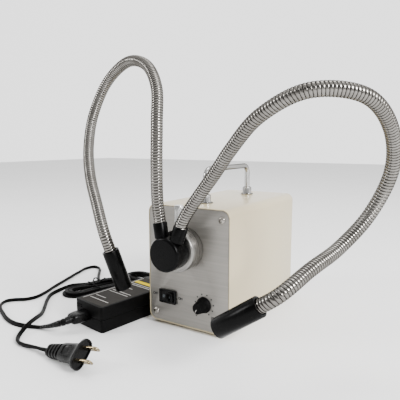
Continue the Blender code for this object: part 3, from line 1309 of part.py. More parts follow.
def make_tie(table):
    """A thin tie over the mains hank's waist, its legs down to the table on both sides."""
    reach = HANK_HALF_WIDTH + MAINS_RADIUS + TIE_CLEARANCE + TIE_RADIUS
    top = HANK_LIFT + MAINS_RADIUS * 2 + TIE_CLEARANCE + TIE_RADIUS
    corner = MAINS_RADIUS
    points = [(-reach, 0, TIE_RADIUS), (-reach, 0, top - corner)]
    points += [(corner - reach, 0, top), (reach - corner, 0, top)]
    points += [(reach, 0, top - corner), (reach, 0, TIE_RADIUS)]
    mesh = tube_mesh("tie", points, [TIE_RADIUS] * len(points), 1)
    piece("twist_tie", mesh, WIRE, table, (*MAINS_HANK_CENTRE, 0), Matrix.Rotation(-MAINS_HANK_TURN, 4, "Z"))


def main():
    clear_scene()
    place = (HOUSING_PLACE_X, HOUSING_PLACE_Y, FOOT_HEIGHT)
    housing = frame("housing_frame", place, Matrix())
    front = frame("front_frame", (0, 0, 0), Matrix.Rotation(TURN / 4, 4, "X"), housing)
    table_place = (HOUSING_PLACE_X + TABLE_SIDE - HOUSING_WIDTH / 2, HOUSING_PLACE_Y, 0)
    table = frame("table_frame", table_place, Matrix())
    adapter_place = (ADAPTER_PLACE_X, ADAPTER_PLACE_Y, 0)
    adapter = frame("adapter_frame", adapter_place, Matrix.Rotation(ADAPTER_TURN, 4, "Z"), table)
    bpy.context.view_layer.update()
    make_shell(front)
    make_front_panel(front)
    make_rear_panel(front)
    make_front_screws(front)
    make_feet(housing)
    make_handle(housing)
    make_barrel(front)
    make_thumbscrew(housing)
    make_spigot_and_hub(front)
    make_collars(housing)
    make_arm(housing, "left", -1)
    make_arm(housing, "right", 1)
    make_led_module(front)
    make_fan(front)
    make_board(housing)
    make_dimmer(front)
    make_switch(front, housing)
    make_jack(front)
    make_adapter(adapter)
    make_connector(adapter, table)
    make_plug(table)
    make_leads(table)
    make_tie(table)


main()
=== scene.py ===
"""The looks of a gooseneck illuminator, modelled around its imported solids.

Laid out as an add-on and run as a script. Lengths are in metres, +Z is up, the front panel faces -Y.
"""

import json
import math

import bmesh
import bpy
from bpy.props import FloatProperty, FloatVectorProperty, IntProperty, PointerProperty
from bpy.types import Operator, Panel, PropertyGroup
from mathutils import Matrix, Vector


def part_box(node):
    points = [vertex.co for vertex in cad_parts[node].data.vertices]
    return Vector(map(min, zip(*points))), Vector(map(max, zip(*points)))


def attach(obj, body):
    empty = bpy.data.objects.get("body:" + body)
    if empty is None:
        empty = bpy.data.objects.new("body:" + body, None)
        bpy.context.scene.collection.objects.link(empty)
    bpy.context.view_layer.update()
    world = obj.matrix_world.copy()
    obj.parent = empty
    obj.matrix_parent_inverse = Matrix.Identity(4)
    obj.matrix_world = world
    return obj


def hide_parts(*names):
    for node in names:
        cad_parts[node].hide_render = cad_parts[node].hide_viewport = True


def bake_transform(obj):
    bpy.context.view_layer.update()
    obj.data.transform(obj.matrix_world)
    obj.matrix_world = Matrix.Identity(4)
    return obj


bl_info = {
    "name": "Gooseneck illuminator",
    "version": (1, 0, 0),
    "blender": (4, 5, 0),
    "location": "View3D > Sidebar > Illuminator",
    "description": "Models the looks of a two-armed gooseneck illuminator around its packed solids",
    "category": "Add Mesh",
}

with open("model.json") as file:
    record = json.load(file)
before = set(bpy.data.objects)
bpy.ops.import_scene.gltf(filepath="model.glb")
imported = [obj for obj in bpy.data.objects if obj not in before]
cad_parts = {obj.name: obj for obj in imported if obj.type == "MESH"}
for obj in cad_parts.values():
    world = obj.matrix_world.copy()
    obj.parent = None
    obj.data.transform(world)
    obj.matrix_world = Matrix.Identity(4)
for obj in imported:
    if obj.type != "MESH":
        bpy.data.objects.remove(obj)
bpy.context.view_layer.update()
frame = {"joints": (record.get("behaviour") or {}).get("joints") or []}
JOINTS = {joint["name"]: joint for joint in frame["joints"]}
SHELL_LOW, SHELL_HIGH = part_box("housing_shell")
SHELL_SIZE = SHELL_HIGH - SHELL_LOW
HOUSING = Vector(((SHELL_LOW.x + SHELL_HIGH.x) / 2, SHELL_LOW.y, SHELL_LOW.z))
PORT = Vector(JOINTS["guide_turn"]["pos_m"])
TABLE = Vector((HOUSING.x, HOUSING.y, 0))

TURN = 2 * math.pi
QUARTER = TURN / 4
GAP = 0.0003
MERGE = 0.000001
OVERRUN = 0.002
AXIS_LIMIT = 0.99
SHARP = math.radians(35)
FORWARD = Matrix.Rotation(QUARTER, 4, "X")
PRINT = 0.00003
BOLD_SHARE = 0.055

# Routes of the arms, the cords and the connector's strain relief, as in the solids.
LEFT_ARM_ROUTE = (
    (-0.03649, -0.07480, 0.12531), (-0.03849, -0.07480, 0.13781), (-0.04099, -0.07330, 0.18081),
    (-0.04499, -0.06680, 0.22331), (-0.05649, -0.05180, 0.26181), (-0.08449, -0.03430, 0.28931),
    (-0.12399, -0.02030, 0.29731), (-0.16049, -0.01630, 0.27681), (-0.17299, -0.02780, 0.23831),
    (-0.16399, -0.04630, 0.20031), (-0.14349, -0.06530, 0.16731), (-0.11749, -0.08180, 0.13681),
    (-0.09549, -0.09130, 0.10181), (-0.09299, -0.08830, 0.08981),
)
RIGHT_ARM_ROUTE = (
    (-0.01048, -0.07480, 0.12349), (-0.00500, -0.07480, 0.13300), (0.01000, -0.07520, 0.15300),
    (0.02750, -0.07820, 0.17300), (0.05102, -0.08680, 0.19849), (0.08302, -0.09830, 0.22549),
    (0.12252, -0.09930, 0.24249), (0.15802, -0.07630, 0.23899), (0.17202, -0.04330, 0.21549),
    (0.17052, -0.01930, 0.17949), (0.15402, -0.01780, 0.13999), (0.13602, -0.04430, 0.11349),
    (0.12352, -0.08430, 0.10149), (0.10552, -0.11880, 0.08349), (0.09552, -0.11980, 0.07649),
)
MAINS_ROUTE_A = (
    (-0.1617, -0.1279, 0.0028), (-0.1677, -0.1294, 0.0020), (-0.1742, -0.1317, 0.0016),
    (-0.1822, -0.1346, 0.0016), (-0.1952, -0.1366, 0.0016), (-0.2142, -0.1333, 0.0016),
    (-0.2342, -0.1253, 0.0016), (-0.2512, -0.1173, 0.0016), (-0.2637, -0.1068, 0.0016),
    (-0.2672, -0.0973, 0.0016), (-0.2617, -0.0888, 0.0016), (-0.2522, -0.0813, 0.0016),
    (-0.2477, -0.0703, 0.0016), (-0.2507, -0.0533, 0.0016), (-0.2602, -0.0293, 0.0016),
    (-0.2722, 0.0037, 0.0016), (-0.2852, 0.0407, 0.0016), (-0.2912, 0.0637, 0.0016),
    (-0.2872, 0.0757, 0.0016), (-0.2752, 0.0737, 0.0016), (-0.2562, 0.0557, 0.0016),
    (-0.2417, 0.0397, 0.0016), (-0.2307, 0.0287, 0.0016), (-0.2239, 0.0199, 0.0016),
    (-0.2221, 0.0110, 0.0016), (-0.2238, 0.0052, 0.0016),
)
MAINS_ROUTE_B = (
    (-0.2252, 0.0018, 0.0050), (-0.2295, -0.0070, 0.0050), (-0.2351, -0.0178, 0.0046),
    (-0.2401, -0.0267, 0.0030), (-0.2421, -0.0376, 0.0018), (-0.2388, -0.0503, 0.0016),
    (-0.2307, -0.0623, 0.0016), (-0.2197, -0.0743, 0.0016), (-0.2082, -0.0858, 0.0016),
    (-0.1977, -0.0968, 0.0017), (-0.1882, -0.1073, 0.0030), (-0.1807, -0.1183, 0.0046),
    (-0.1752, -0.1283, 0.0053), (-0.1707, -0.1383, 0.0049), (-0.1667, -0.1483, 0.0030),
    (-0.1607, -0.1573, 0.0017), (-0.1522, -0.1633, 0.0016), (-0.1412, -0.1650, 0.0018),
    (-0.1302, -0.1647, 0.0025), (-0.1192, -0.1642, 0.0037), (-0.1024, -0.1639, 0.0057),
)
DC_ROUTE_A = (
    (-0.1006, 0.0256, 0.0143), (-0.0994, 0.0332, 0.0136), (-0.1007, 0.0402, 0.0112),
    (-0.1057, 0.0457, 0.0078), (-0.1132, 0.0482, 0.0046), (-0.1232, 0.0490, 0.0023),
    (-0.1352, 0.0497, 0.0019), (-0.1456, 0.0502, 0.0019),
)
DC_ROUTE_B = (
    (-0.1456, 0.0822, 0.0061), (-0.1312, 0.0835, 0.0053), (-0.1152, 0.0877, 0.0028),
    (-0.1012, 0.0932, 0.0019), (-0.0897, 0.1022, 0.0019), (-0.0837, 0.1167, 0.0019),
    (-0.0822, 0.1327, 0.0019), (-0.0822, 0.1487, 0.0019), (-0.0817, 0.1647, 0.0026),
    (-0.0797, 0.1787, 0.0062), (-0.0742, 0.1897, 0.0132), (-0.0657, 0.1937, 0.0222),
    (-0.0577, 0.1887, 0.0300), (-0.0537, 0.1787, 0.0335), (-0.0532, 0.1647, 0.0340),
)
RELIEF_ROUTE = (
    (-0.1288, -0.1161, 0.0143), (-0.1302, -0.1213, 0.0137), (-0.1345, -0.1248, 0.0121),
    (-0.1417, -0.1259, 0.0092), (-0.1507, -0.1263, 0.0058), (-0.1612, -0.1278, 0.0029),
)


def length(label, about, value):
    return FloatProperty(name=label, description=about, default=value, min=0, unit="LENGTH", precision=5)


def angle(label, about, value):
    return FloatProperty(name=label, description=about, default=math.radians(value), subtype="ANGLE")


def count(label, about, value):
    return IntProperty(name=label, description=about, default=value, min=3)


def colour(label, about, value):
    return FloatVectorProperty(name=label, description=about, default=value, min=0, max=1, subtype="COLOR")


class HousingSettings(PropertyGroup):
    wall: length("Wall", "Thickness of the shell's sheet metal", 0.0010)
    corner: length("Corner", "Radius of the shell's long corners", 0.009)
    rim: length("Rim", "Rounding of the shell's front and rear rims", 0.0005)
    recess: length("Recess", "How far the panels lie behind the rims", 0.0004)
    panel: length("Panel", "Thickness of the panels", 0.002)
    screw_inset_x: length("Screw inset", "Sideways inset of the panel screws", 0.0095)
    screw_inset_z: length("Screw drop", "Upright inset of the panel screws", 0.0108)
    screw_radius: length("Screw head", "Radius of a panel screw's head", 0.0038)
    rod: length("Handle rod", "Radius of the handle's rod", 0.0031)
    handle_x: length("Handle place", "Sideways place of the handle", 0.0015)
    handle_front: length("Handle front", "Place of the handle's front leg", 0.036)
    handle_rear: length("Handle rear", "Place of the handle's rear leg", 0.140)
    handle_bend: length("Handle bend", "Radius of the handle's bends", 0.009)
    jack_proud: length("Socket rim", "How far the rear socket stands out of the shell", 0.0004)
    fan_height: length("Fan height", "Height of the fan's axis", 0.078)


class GuideSettings(PropertyGroup):
    barrel: length("Barrel", "Radius of the light port's barrel", 0.0225)
    barrel_length: length("Barrel length", "How far the barrel stands out", 0.020)
    hub: length("Hub", "Radius of the guide's hub", 0.0178)
    hub_length: length("Hub length", "Length of the guide's hub", 0.0196)
    hub_round: length("Hub rounding", "Rounding of the hub's front edge", 0.003)
    hub_turn: angle("Hub turn", "How far the hub is turned on its spigot", 4)
    bend_out: angle("Right collar", "How much more the right collar leans", 4)
    spread: length("Collar spread", "Half the distance between the collars", 0.00925)
    lift: length("Collar lift", "Height of the collars over the hub's axis", 0.0151)
    lean: angle("Collar lean", "How far each collar leans outwards", 12.8)
    collar: length("Collar", "Radius of a collar", 0.0074)
    collar_length: length("Collar length", "Length of a collar", 0.0155)
    hose: length("Hose", "Radius of a hose over its ribs", 0.00625)
    valley: length("Hose valley", "Radius of a hose between its ribs", 0.0056)
    pitch: length("Rib pitch", "Distance from rib to rib", 0.00285)
    hose_sides: count("Hose sides", "Facets round a hose", 40)
    nozzle: length("Nozzle", "Radius of a nozzle", 0.009)
    nozzle_length: length("Nozzle length", "Length of a nozzle", 0.045)


class ControlSettings(PropertyGroup):
    dial_x: length("Dial place", "Sideways place of the dimmer", 0.0214)
    dial_z: length("Dial height", "Height of the dimmer", 0.0298)
    dial_ring: length("Dial ring", "Radius of the ring of dial dots", 0.0112)
    dial_dots: count("Dial dots", "Number of dial dots", 10)
    knob: length("Knob", "Radius of the knob's skirt", 0.0085)
    knob_height: length("Knob height", "Height of the knob", 0.0146)
    switch_x: length("Switch place", "Leftward place of the switch", 0.0257)
    switch_z: length("Switch height", "Height of the switch", 0.0302)
    bezel_width: length("Bezel width", "Width of the switch's bezel", 0.0225)
    bezel_height: length("Bezel height", "Height of the switch's bezel", 0.0153)


class LeadSettings(PropertyGroup):
    mains_lobe: length("Mains lobe", "Radius of each of the mains cord's two cores", 0.0016)
    mains_spread: length("Mains spread", "Half the distance between the two cores", 0.0009)
    roll: angle("Cord roll", "How far the mains cord rolls onto its edge where it runs free", 62)
    roll_run: length("Cord roll run", "Length over which the mains cord rolls", 0.035)
    dc_radius: length("Low-voltage cord", "Radius of the low-voltage cord", 0.00175)
    tie: length("Tie", "Radius of a tie's wire", 0.0006)
    adapter_width: length("Adapter width", "Width of the mains adapter", 0.049)
    adapter_length: length("Adapter length", "Length of the mains adapter", 0.112)
    adapter_height: length("Adapter height", "Height of the mains adapter", 0.0286)
    flange_width: length("Plug width", "Width of the mains plug's flange", 0.029)
    flange_height: length("Plug height", "Height of the mains plug's flange", 0.015)


class FinishSettings(PropertyGroup):
    enamel: colour("Enamel", "Colour of the shell", (0.45, 0.378, 0.235))
    plate: colour("Plate", "Colour of the front plate", (0.25, 0.238, 0.218))
    bright: colour("Bright metal", "Colour of turned aluminium", (0.27, 0.262, 0.248))
    chrome: colour("Chrome", "Colour of the plating", (0.42, 0.415, 0.405))
    black_metal: colour("Black metal", "Colour of the anodised pieces", (0.0008, 0.0008, 0.0008))
    black_plastic: colour("Black plastic", "Colour of the moulded pieces", (0.0012, 0.0012, 0.0012))
    cord: colour("Cord", "Colour of the cords", (0.0014, 0.0013, 0.0012))
    label: colour("Label", "Colour of the adapter's top label", (0.017, 0.0148, 0.0125))
    ground: colour("Ground", "Colour of the table", (0.86, 0.86, 0.86))


class StageSettings(PropertyGroup):
    eye: FloatVectorProperty(
        name="Eye", description="Place of the camera", default=(0.2314, -0.4254, 0.2039),
        subtype="TRANSLATION",
    )
    heading: angle("Heading", "Turn of the camera about the vertical", 32.083)
    dip: angle("Dip", "How far the camera looks down", 7.438)
    focal: FloatProperty(name="Lens", description="Focal length in millimetres", default=39.506)


def deselect():
    if bpy.context.mode != "OBJECT":
        bpy.ops.object.mode_set(mode="OBJECT")
    bpy.ops.object.select_all(action="DESELECT")


def take(piece):
    """Select one object alone and make it the active one."""
    deselect()
    piece.select_set(True)
    bpy.context.view_layer.objects.active = piece
    return piece


def started(name):
    """Name the primitive just added and open it for editing, all selected."""
    piece = bpy.context.view_layer.objects.active
    piece.name = name
    piece.data.name = name
    bpy.ops.object.mode_set(mode="EDIT")
    bpy.ops.mesh.select_mode(type="VERT")
    bpy.ops.mesh.select_all(action="SELECT")
    return piece


def choose(kind, test):
    """Select the vertices, edges or faces that pass a test, and nothing else."""
    bpy.ops.mesh.select_mode(type=kind)
    bpy.ops.mesh.select_all(action="DESELECT")
    mesh = bmesh.from_edit_mesh(bpy.context.view_layer.objects.active.data)
    items = {"VERT": mesh.verts, "EDGE": mesh.edges, "FACE": mesh.faces}[kind]
    for item in items:
        if test(item):
            item.select_set(True)
    mesh.select_flush_mode()
    bmesh.update_edit_mesh(bpy.context.view_layer.objects.active.data)


def along(axis):
    """A test for edges that run along one axis."""
    def test(edge):
        run = (edge.verts[0].co - edge.verts[1].co).normalized()
        return abs(run[axis]) > AXIS_LIMIT
    return test


def facing(axis):
    """A test for faces whose normal lies along one axis, either way."""
    return lambda face: abs(face.normal[axis]) > AXIS_LIMIT


def tidy():
    """Merge doubled points and turn every face outwards, in edit mode."""
    bpy.ops.mesh.select_all(action="SELECT")
    bpy.ops.mesh.remove_doubles(threshold=MERGE)
    bpy.ops.mesh.normals_make_consistent(inside=False)
    bpy.ops.object.mode_set(mode="OBJECT")


def fillet(piece, width, segments=2):
    take(piece)
    bevel = piece.modifiers.new("Fillet", "BEVEL")
    bevel.width = width
    bevel.segments = segments
    bevel.limit_method = "ANGLE"
    bevel.angle_limit = SHARP
    bpy.ops.object.modifier_apply(modifier=bevel.name)
    return piece


def settle(piece, seat=None):
    """Put a finished piece in its place, keep that place in its mesh, and shade it."""
    take(piece)
    if seat is not None:
        piece.matrix_world = seat @ piece.matrix_world
    bpy.ops.object.transform_apply(location=True, rotation=True, scale=True)
    bpy.ops.object.shade_smooth_by_angle(angle=SHARP)
    return piece


def hand_over(piece, material, slot, *nodes, body="housing"):
    """Give a piece its finish, its body and the solids that it stands for; the slot is not used."""
    piece.data.materials.clear()
    piece.data.materials.append(material)
    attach(piece, body)
    if nodes:
        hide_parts(*nodes)


def cut(piece, other):
    """Cut another piece out of this one, and remove that other piece."""
    take(piece)
    modifier = piece.modifiers.new("Cut", "BOOLEAN")
    modifier.operation = "DIFFERENCE"
    modifier.solver = "EXACT"
    modifier.object = other
    bpy.ops.object.modifier_apply(modifier=modifier.name)
    bpy.data.objects.remove(other, do_unlink=True)


def shifted(offsets, radius, height):
    """A stretch of a profile, given as offsets from one radius and height."""
    return [(radius + out, height + up) for out, up in offsets]


def turned(name, profile, sides, seat, ring=False, flute=None):
    """Turn a piece as on a lathe: a circle is extruded and resized from one (radius, height) to the next.

    A flute is a share to which lines of the side shrink, which one in how many, and a test of their points.
    """
    deselect()
    radius, height = profile[0]
    bpy.ops.mesh.primitive_circle_add(vertices=sides, radius=radius)
    piece = started(name)
    bpy.ops.transform.translate(value=(0, 0, height))
    first = (radius, height)
    for wide, high in [*profile[1:], *(profile[:1] if ring else [])]:
        bpy.ops.mesh.extrude_region_move(TRANSFORM_OT_translate={"value": (0, 0, high - height)})
        bpy.ops.transform.resize(value=(wide / radius, wide / radius, 1), center_override=(0, 0, 0))
        radius, height = wide, high
    if not ring:
        bpy.ops.mesh.edge_face_add()
        choose("VERT", lambda v: abs(v.co.z - first[1]) < MERGE and abs(v.co.xy.length - first[0]) < MERGE)
        bpy.ops.mesh.edge_face_add()
    if flute:
        share, which, every, picked = flute
        step = TURN / sides
        choose("VERT", lambda v: picked(v.co) and round(math.atan2(v.co.y, v.co.x) / step) % every == which)
        bpy.ops.transform.resize(value=(share, share, 1), center_override=(0, 0, 0))
    tidy()
    return settle(piece, seat)


def block(name, size, seat, centre, axis=None, corner=0.0, steps=6, edge=0.0):
    """Model a block; the edges along one axis may be rounded more than the rest."""
    deselect()
    bpy.ops.mesh.primitive_cube_add(size=1)
    piece = started(name)
    bpy.ops.transform.resize(value=size)
    bpy.ops.transform.translate(value=centre)
    if axis is not None:
        choose("EDGE", along(axis))
        bpy.ops.mesh.bevel(offset=corner, segments=steps, affect="EDGES")
    tidy()
    if edge:
        fillet(piece, edge, 3)
    return settle(piece, seat)


def linked(name, data):
    piece = bpy.data.objects.new(name, data)
    bpy.context.scene.collection.objects.link(piece)
    return piece


def drawn(name, dimensions, lines, closed, **values):
    """Draw lines of points as one curve, and open the mesh that it makes for editing."""
    curve = bpy.data.curves.new(name, "CURVE")
    curve.dimensions = dimensions
    for option, value in values.items():
        setattr(curve, option, value)
    for line in lines:
        spline = curve.splines.new("POLY")
        spline.points.add(len(line) - 1)
        for knot, point in zip(spline.points, line):
            knot.co = (*point, 1)
        spline.use_cyclic_u = closed
    take(linked(name, curve))
    bpy.ops.object.convert(target="MESH")
    return started(name)


def plate(name, outlines, low, high, seat, edge=0.0):
    """Cut a flat plate to outlines; the ones inside the first become holes."""
    lines = [[(x, y, 0) for x, y in outline] for outline in outlines]
    piece = drawn(name, "2D", lines, True, fill_mode="BOTH", extrude=(high - low) / 2)
    bpy.ops.transform.translate(value=(0, 0, (low + high) / 2))
    tidy()
    if edge:
        fillet(piece, edge)
    return settle(piece, seat)


def rod(name, points, radius, seat, resolution):
    """Bend a round rod along points."""
    piece = drawn(
        name, "3D", [points], False, bevel_depth=radius, bevel_resolution=resolution, use_fill_caps=True
    )
    tidy()
    return settle(piece, seat)


def twin(piece, name, shift):
    """Copy a piece that rides on nothing yet, with its own mesh, to another place."""
    take(piece)
    bpy.ops.object.duplicate(linked=False)
    copy = bpy.context.view_layer.objects.active
    copy.name = name
    copy.data.name = name
    return settle(copy, Matrix.Translation(shift))


def rounded(width, height, radius, steps, centre=(0, 0)):
    points = []
    for quarter in range(4):
        across = 1 if quarter in (0, 3) else -1
        upward = 1 if quarter in (0, 1) else -1
        x = centre[0] + across * (width / 2 - radius)
        y = centre[1] + upward * (height / 2 - radius)
        for step in range(steps + 1):
            turn = (quarter + step / steps) * QUARTER
            points.append((x + radius * math.cos(turn), y + radius * math.sin(turn)))
    return points


def ring_of(radius, sides, centre=(0, 0)):
    turns = [step / sides * TURN for step in range(sides)]
    return [(centre[0] + radius * math.cos(turn), centre[1] + radius * math.sin(turn)) for turn in turns]


def arc(radius, centre, start, end, steps):
    found = []
    for step in range(steps + 1):
        turn = start + (end - start) * step / steps
        found.append((centre[0] + radius * math.cos(turn), centre[1] + radius * math.sin(turn)))
    return found


def eased(share):
    """A share that starts and ends slowly, held between 0 and 1."""
    share = min(max(share, 0), 1)
    return share * share * (3 - share * 2)


def knot_flow(before, knot, after):
    back, ahead = (knot - before).length, (after - knot).length
    return ((after - knot) * back / ahead + (knot - before) * ahead / back) / (back + ahead)


def smooth_path(points, samples=24):
    """Many points on one smooth curve through a few, as the solids' routes are made."""
    knots = [Vector(point) for point in points]
    flows = [knot_flow(*knots[i - 1:i + 2]) for i in range(1, len(knots) - 1)]
    flows = [(knots[1] - knots[0]).normalized(), *flows, (knots[-1] - knots[-2]).normalized()]
    dense = []
    for i in range(len(knots) - 1):
        span = (knots[i + 1] - knots[i]).length
        for step in range(samples):
            s = step / samples
            square, cube = s * s, s * s * s
            point = knots[i] * (cube * 2 - square * 3 + 1) + knots[i + 1] * (square * 3 - cube * 2)
            pull = flows[i] * (cube - square * 2 + s) + flows[i + 1] * (cube - square)
            dense.append(point + pull * span)
    dense.append(knots[-1])
    return dense


def even(points, step):
    """The same line again, in points a given step apart, from its first to its last."""
    distances = [0]
    for near, far in zip(points, points[1:]):
        distances.append(distances[-1] + (far - near).length)
    total = distances[-1]
    steps = max(2, round(total / step))
    found, index = [], 0
    for i in range(steps + 1):
        want = total * i / steps
        while index < len(points) - 2 and distances[index + 1] < want:
            index += 1
        span = distances[index + 1] - distances[index]
        found.append(points[index].lerp(points[index + 1], (want - distances[index]) / span))
    return found, total


def headings(points):
    found = [(points[i + 1] - points[i - 1]).normalized() for i in range(1, len(points) - 1)]
    return [(points[1] - points[0]).normalized(), *found, (points[-1] - points[-2]).normalized()]


def level_frames(points):
    """At each point the sideways and upward directions of a cord that lies flat."""
    up = Vector((0, 0, 1))
    frames = []
    for heading in headings(points):
        side = heading.cross(up).normalized()
        frames.append((side, side.cross(heading)))
    return frames


def carried_frames(points):
    """At each point two crosswise directions that turn as little as they can along the line."""
    flow = headings(points)
    side = flow[0].orthogonal().normalized()
    frames = []
    for before, heading in zip([flow[0], *flow], flow):
        side = before.rotation_difference(heading) @ side
        side = (side - heading * side.dot(heading)).normalized()
        frames.append((side, heading.cross(side)))
    return frames


def mesh_piece(name, points, faces):
    mesh = bpy.data.meshes.new(name)
    mesh.from_pydata([tuple(point) for point in points], [], faces)
    take(linked(name, mesh))
    started(name)
    tidy()
    return settle(bpy.context.view_layer.objects.active)


def swept(name, points, section, frames=None):
    """Draw a section along a line. The section is a list of (across, up), or a function of the share run."""
    frames = frames or level_frames(points)
    rings = []
    for i, (point, (side, up)) in enumerate(zip(points, frames)):
        shape = section(i / (len(points) - 1)) if callable(section) else section
        rings.append([point + side * x + up * y for x, y in shape])
    size = len(rings[0])
    corners = [corner for ring in rings for corner in ring]
    faces = []
    for i in range(len(rings) - 1):
        for j in range(size):
            after = (j + 1) % size
            faces.append((i * size + j, i * size + after, (i + 1) * size + after, (i + 1) * size + j))
    faces.append(tuple(range(size)))
    faces.append(tuple(range(len(corners) - size, len(corners))))
    return mesh_piece(name, corners, faces)


def lettering(name, words, height, seat):
    deselect()
    bpy.ops.object.text_add()
    piece = bpy.context.view_layer.objects.active
    piece.data.body = words
    piece.data.size = height
    piece.data.align_x = "CENTER"
    piece.data.align_y = "CENTER"
    piece.data.extrude = PRINT
    piece.data.offset = height * BOLD_SHARE
    bpy.ops.object.convert(target="MESH")
    piece = started(name)
    tidy()
    return settle(piece, seat)


# Finishes. Each is built from nodes once and then shared.

def node(tree, kind, options=(), **inputs):
    """Add a shader node; an input is a value or the socket that feeds it."""
    made = tree.nodes.new(kind)
    for option, value in options:
        setattr(made, option, value)
    for name, value in inputs.items():
        socket = made.inputs[int(name[1:])] if name[1:].isdigit() else made.inputs[name.replace("_", " ")]
        if isinstance(value, bpy.types.NodeSocket):
            tree.links.new(value, socket)
        else:
            socket.default_value = value
    return made


def new_finish(name, base, roughness, metallic, sockets):
    material = bpy.data.materials.new(name)
    material.use_nodes = True
    shader = material.node_tree.nodes["Principled BSDF"]
    shader.inputs["Base Color"].default_value = (*base, 1)
    shader.inputs["Roughness"].default_value = roughness
    shader.inputs["Metallic"].default_value = metallic
    for socket, value in sockets.items():
        shader.inputs[socket].default_value = value
    return material, material.node_tree, shader


def object_points(tree, scale=(1, 1, 1), centre=(0, 0, 0)):
    """Object coordinates, moved so that a centre lies at zero and then stretched."""
    points = node(tree, "ShaderNodeTexCoord").outputs["Object"]
    shift = node(tree, "ShaderNodeMapping", Vector=points, Location=tuple(-value for value in centre))
    return node(tree, "ShaderNodeMapping", Vector=shift.outputs[0], Scale=scale).outputs[0]


def noise(tree, points, scale, detail, roughness=0.5):
    return node(
        tree, "ShaderNodeTexNoise", Vector=points, Scale=scale, Detail=detail, Roughness=roughness
    ).outputs[0]


def ramp_between(tree, value, low, high, from_low=0.3, from_high=0.7):
    return node(
        tree, "ShaderNodeMapRange", Value=value, From_Min=from_low, From_Max=from_high,
        To_Min=low, To_Max=high,
    ).outputs[0]


def two_tone(tree, factor, dark, light):
    return node(
        tree, "ShaderNodeMix", (("data_type", "RGBA"),), _0=factor, _6=(*dark, 1), _7=(*light, 1)
    ).outputs[2]


def shade(base, share):
    return tuple(min(1, channel * share) for channel in base)


def join(tree, shader, tone, roughness, relief, depth):
    """Feed a shader its tone, its roughness, and a relief of a given depth."""
    tree.links.new(tone, shader.inputs["Base Color"])
    tree.links.new(roughness, shader.inputs["Roughness"])
    bump = node(tree, "ShaderNodeBump", Height=relief, Distance=depth, Strength=1.0)
    tree.links.new(bump.outputs[0], shader.inputs["Normal"])


# A finish: its colour or the setting that holds it, its roughness and metallic, the scale of its grain
# and the depth of its relief, the scale of its blotches, how far they change its tone and its gloss,
# and other values of the shader.
FINISHES = {
    "cream_enamel_paint": ("enamel", 0.36, 0, 1100, 0.00002, 14, 0.02, 0.06, {"Coat Weight": 0.25}),
    "brushed_plate": ("plate", 0.42, 0.75, 900, 0.000012, 500, 0.1, 0.08, {}),
    "polished_chrome": (
        "chrome", 0.13, 1, 600, 0.000002, 90, 0.04, 0.04, {"Specular Tint": (0.12, 0.12, 0.12, 1)}
    ),
    "plain_steel": ((0.34, 0.32, 0.29), 0.27, 1, 1800, 0.000004, 200, 0.08, 0.06, {}),
    "black_anodising": ("black_metal", 0.27, 0, 2600, 0.000006, 70, 0.25, 0.05, {"Specular IOR Level": 0.07}),
    "grained_plastic": ("black_plastic", 0.5, 0, 2300, 0.00002, 90, 0.2, 0.07, {"Specular IOR Level": 0.06}),
    "smooth_plastic": ("black_plastic", 0.28, 0, 900, 0.000004, 120, 0.2, 0.06, {"Specular IOR Level": 0.13}),
    "cord_cover": ("cord", 0.42, 0, 1600, 0.00001, 110, 0.25, 0.08, {"Specular IOR Level": 0.04}),
    "foot_rubber": ((0.02, 0.02, 0.02), 0.75, 0, 1900, 0.00003, 150, 0.2, 0.06, {}),
    "plated_brass": ((0.27, 0.215, 0.125), 0.24, 1, 1500, 0.000004, 220, 0.12, 0.06, {}),
    "black_print": ((0.005, 0.005, 0.005), 0.6, 0, 3000, 0.000004, 700, 0.3, 0.06, {}),
    "white_print": ((0.36, 0.35, 0.33), 0.5, 0, 3000, 0.000004, 500, 0.08, 0.06, {}),
    "grey_print": ((0.16, 0.18, 0.2), 0.5, 0, 3000, 0.000004, 500, 0.1, 0.06, {}),
    "yellow_print": (
        (0.62, 0.47, 0.0), 0.6, 0, 3000, 0.000004, 500, 0.08, 0.06, {"Specular IOR Level": 0.02}
    ),
    "label_film": ("label", 0.6, 0, 1200, 0.000008, 160, 0.08, 0.06, {"Specular IOR Level": 0.05}),
    "board_lacquer": ((0.02, 0.16, 0.06), 0.35, 0, 700, 0.00003, 240, 0.3, 0.06, {}),
    "window_glass": (
        (0.82, 0.86, 0.88), 0.06, 0, 300, 0.000001, 90, 0.04, 0.02, {"Transmission Weight": 0.6, "IOR": 1.5}
    ),
    "floor_paper": ("ground", 0.9, 0, 900, 0.00001, 3, 0.01, 0.06, {}),
}
STRETCHES = {"brushed_plate": (0.025, 1, 1)}
LATHE_GRAIN = 2600
LATHE_BLOTCH = 420
LATHE_RELIEF = 0.000006
LATHE_SHADES = (0.9, 1.06)
LATHE_SWINGS = (-0.06, 0.08)
HOSE_GRAIN = 2200
HOSE_BLOTCH = 45
HOSE_RELIEF = 0.000003
CROWN_DARK, CROWN_LIGHT = (0.17, 0.161, 0.148), (0.25, 0.239, 0.222)
# Painted shade: the near-black colour given to the hose's grooves, where shade falls between the ribs.
GROOVE_PAINTED_SHADE = (0.012, 0.011, 0.01, 1)
HOSE_TINT = (0.3, 0.3, 0.3, 1)


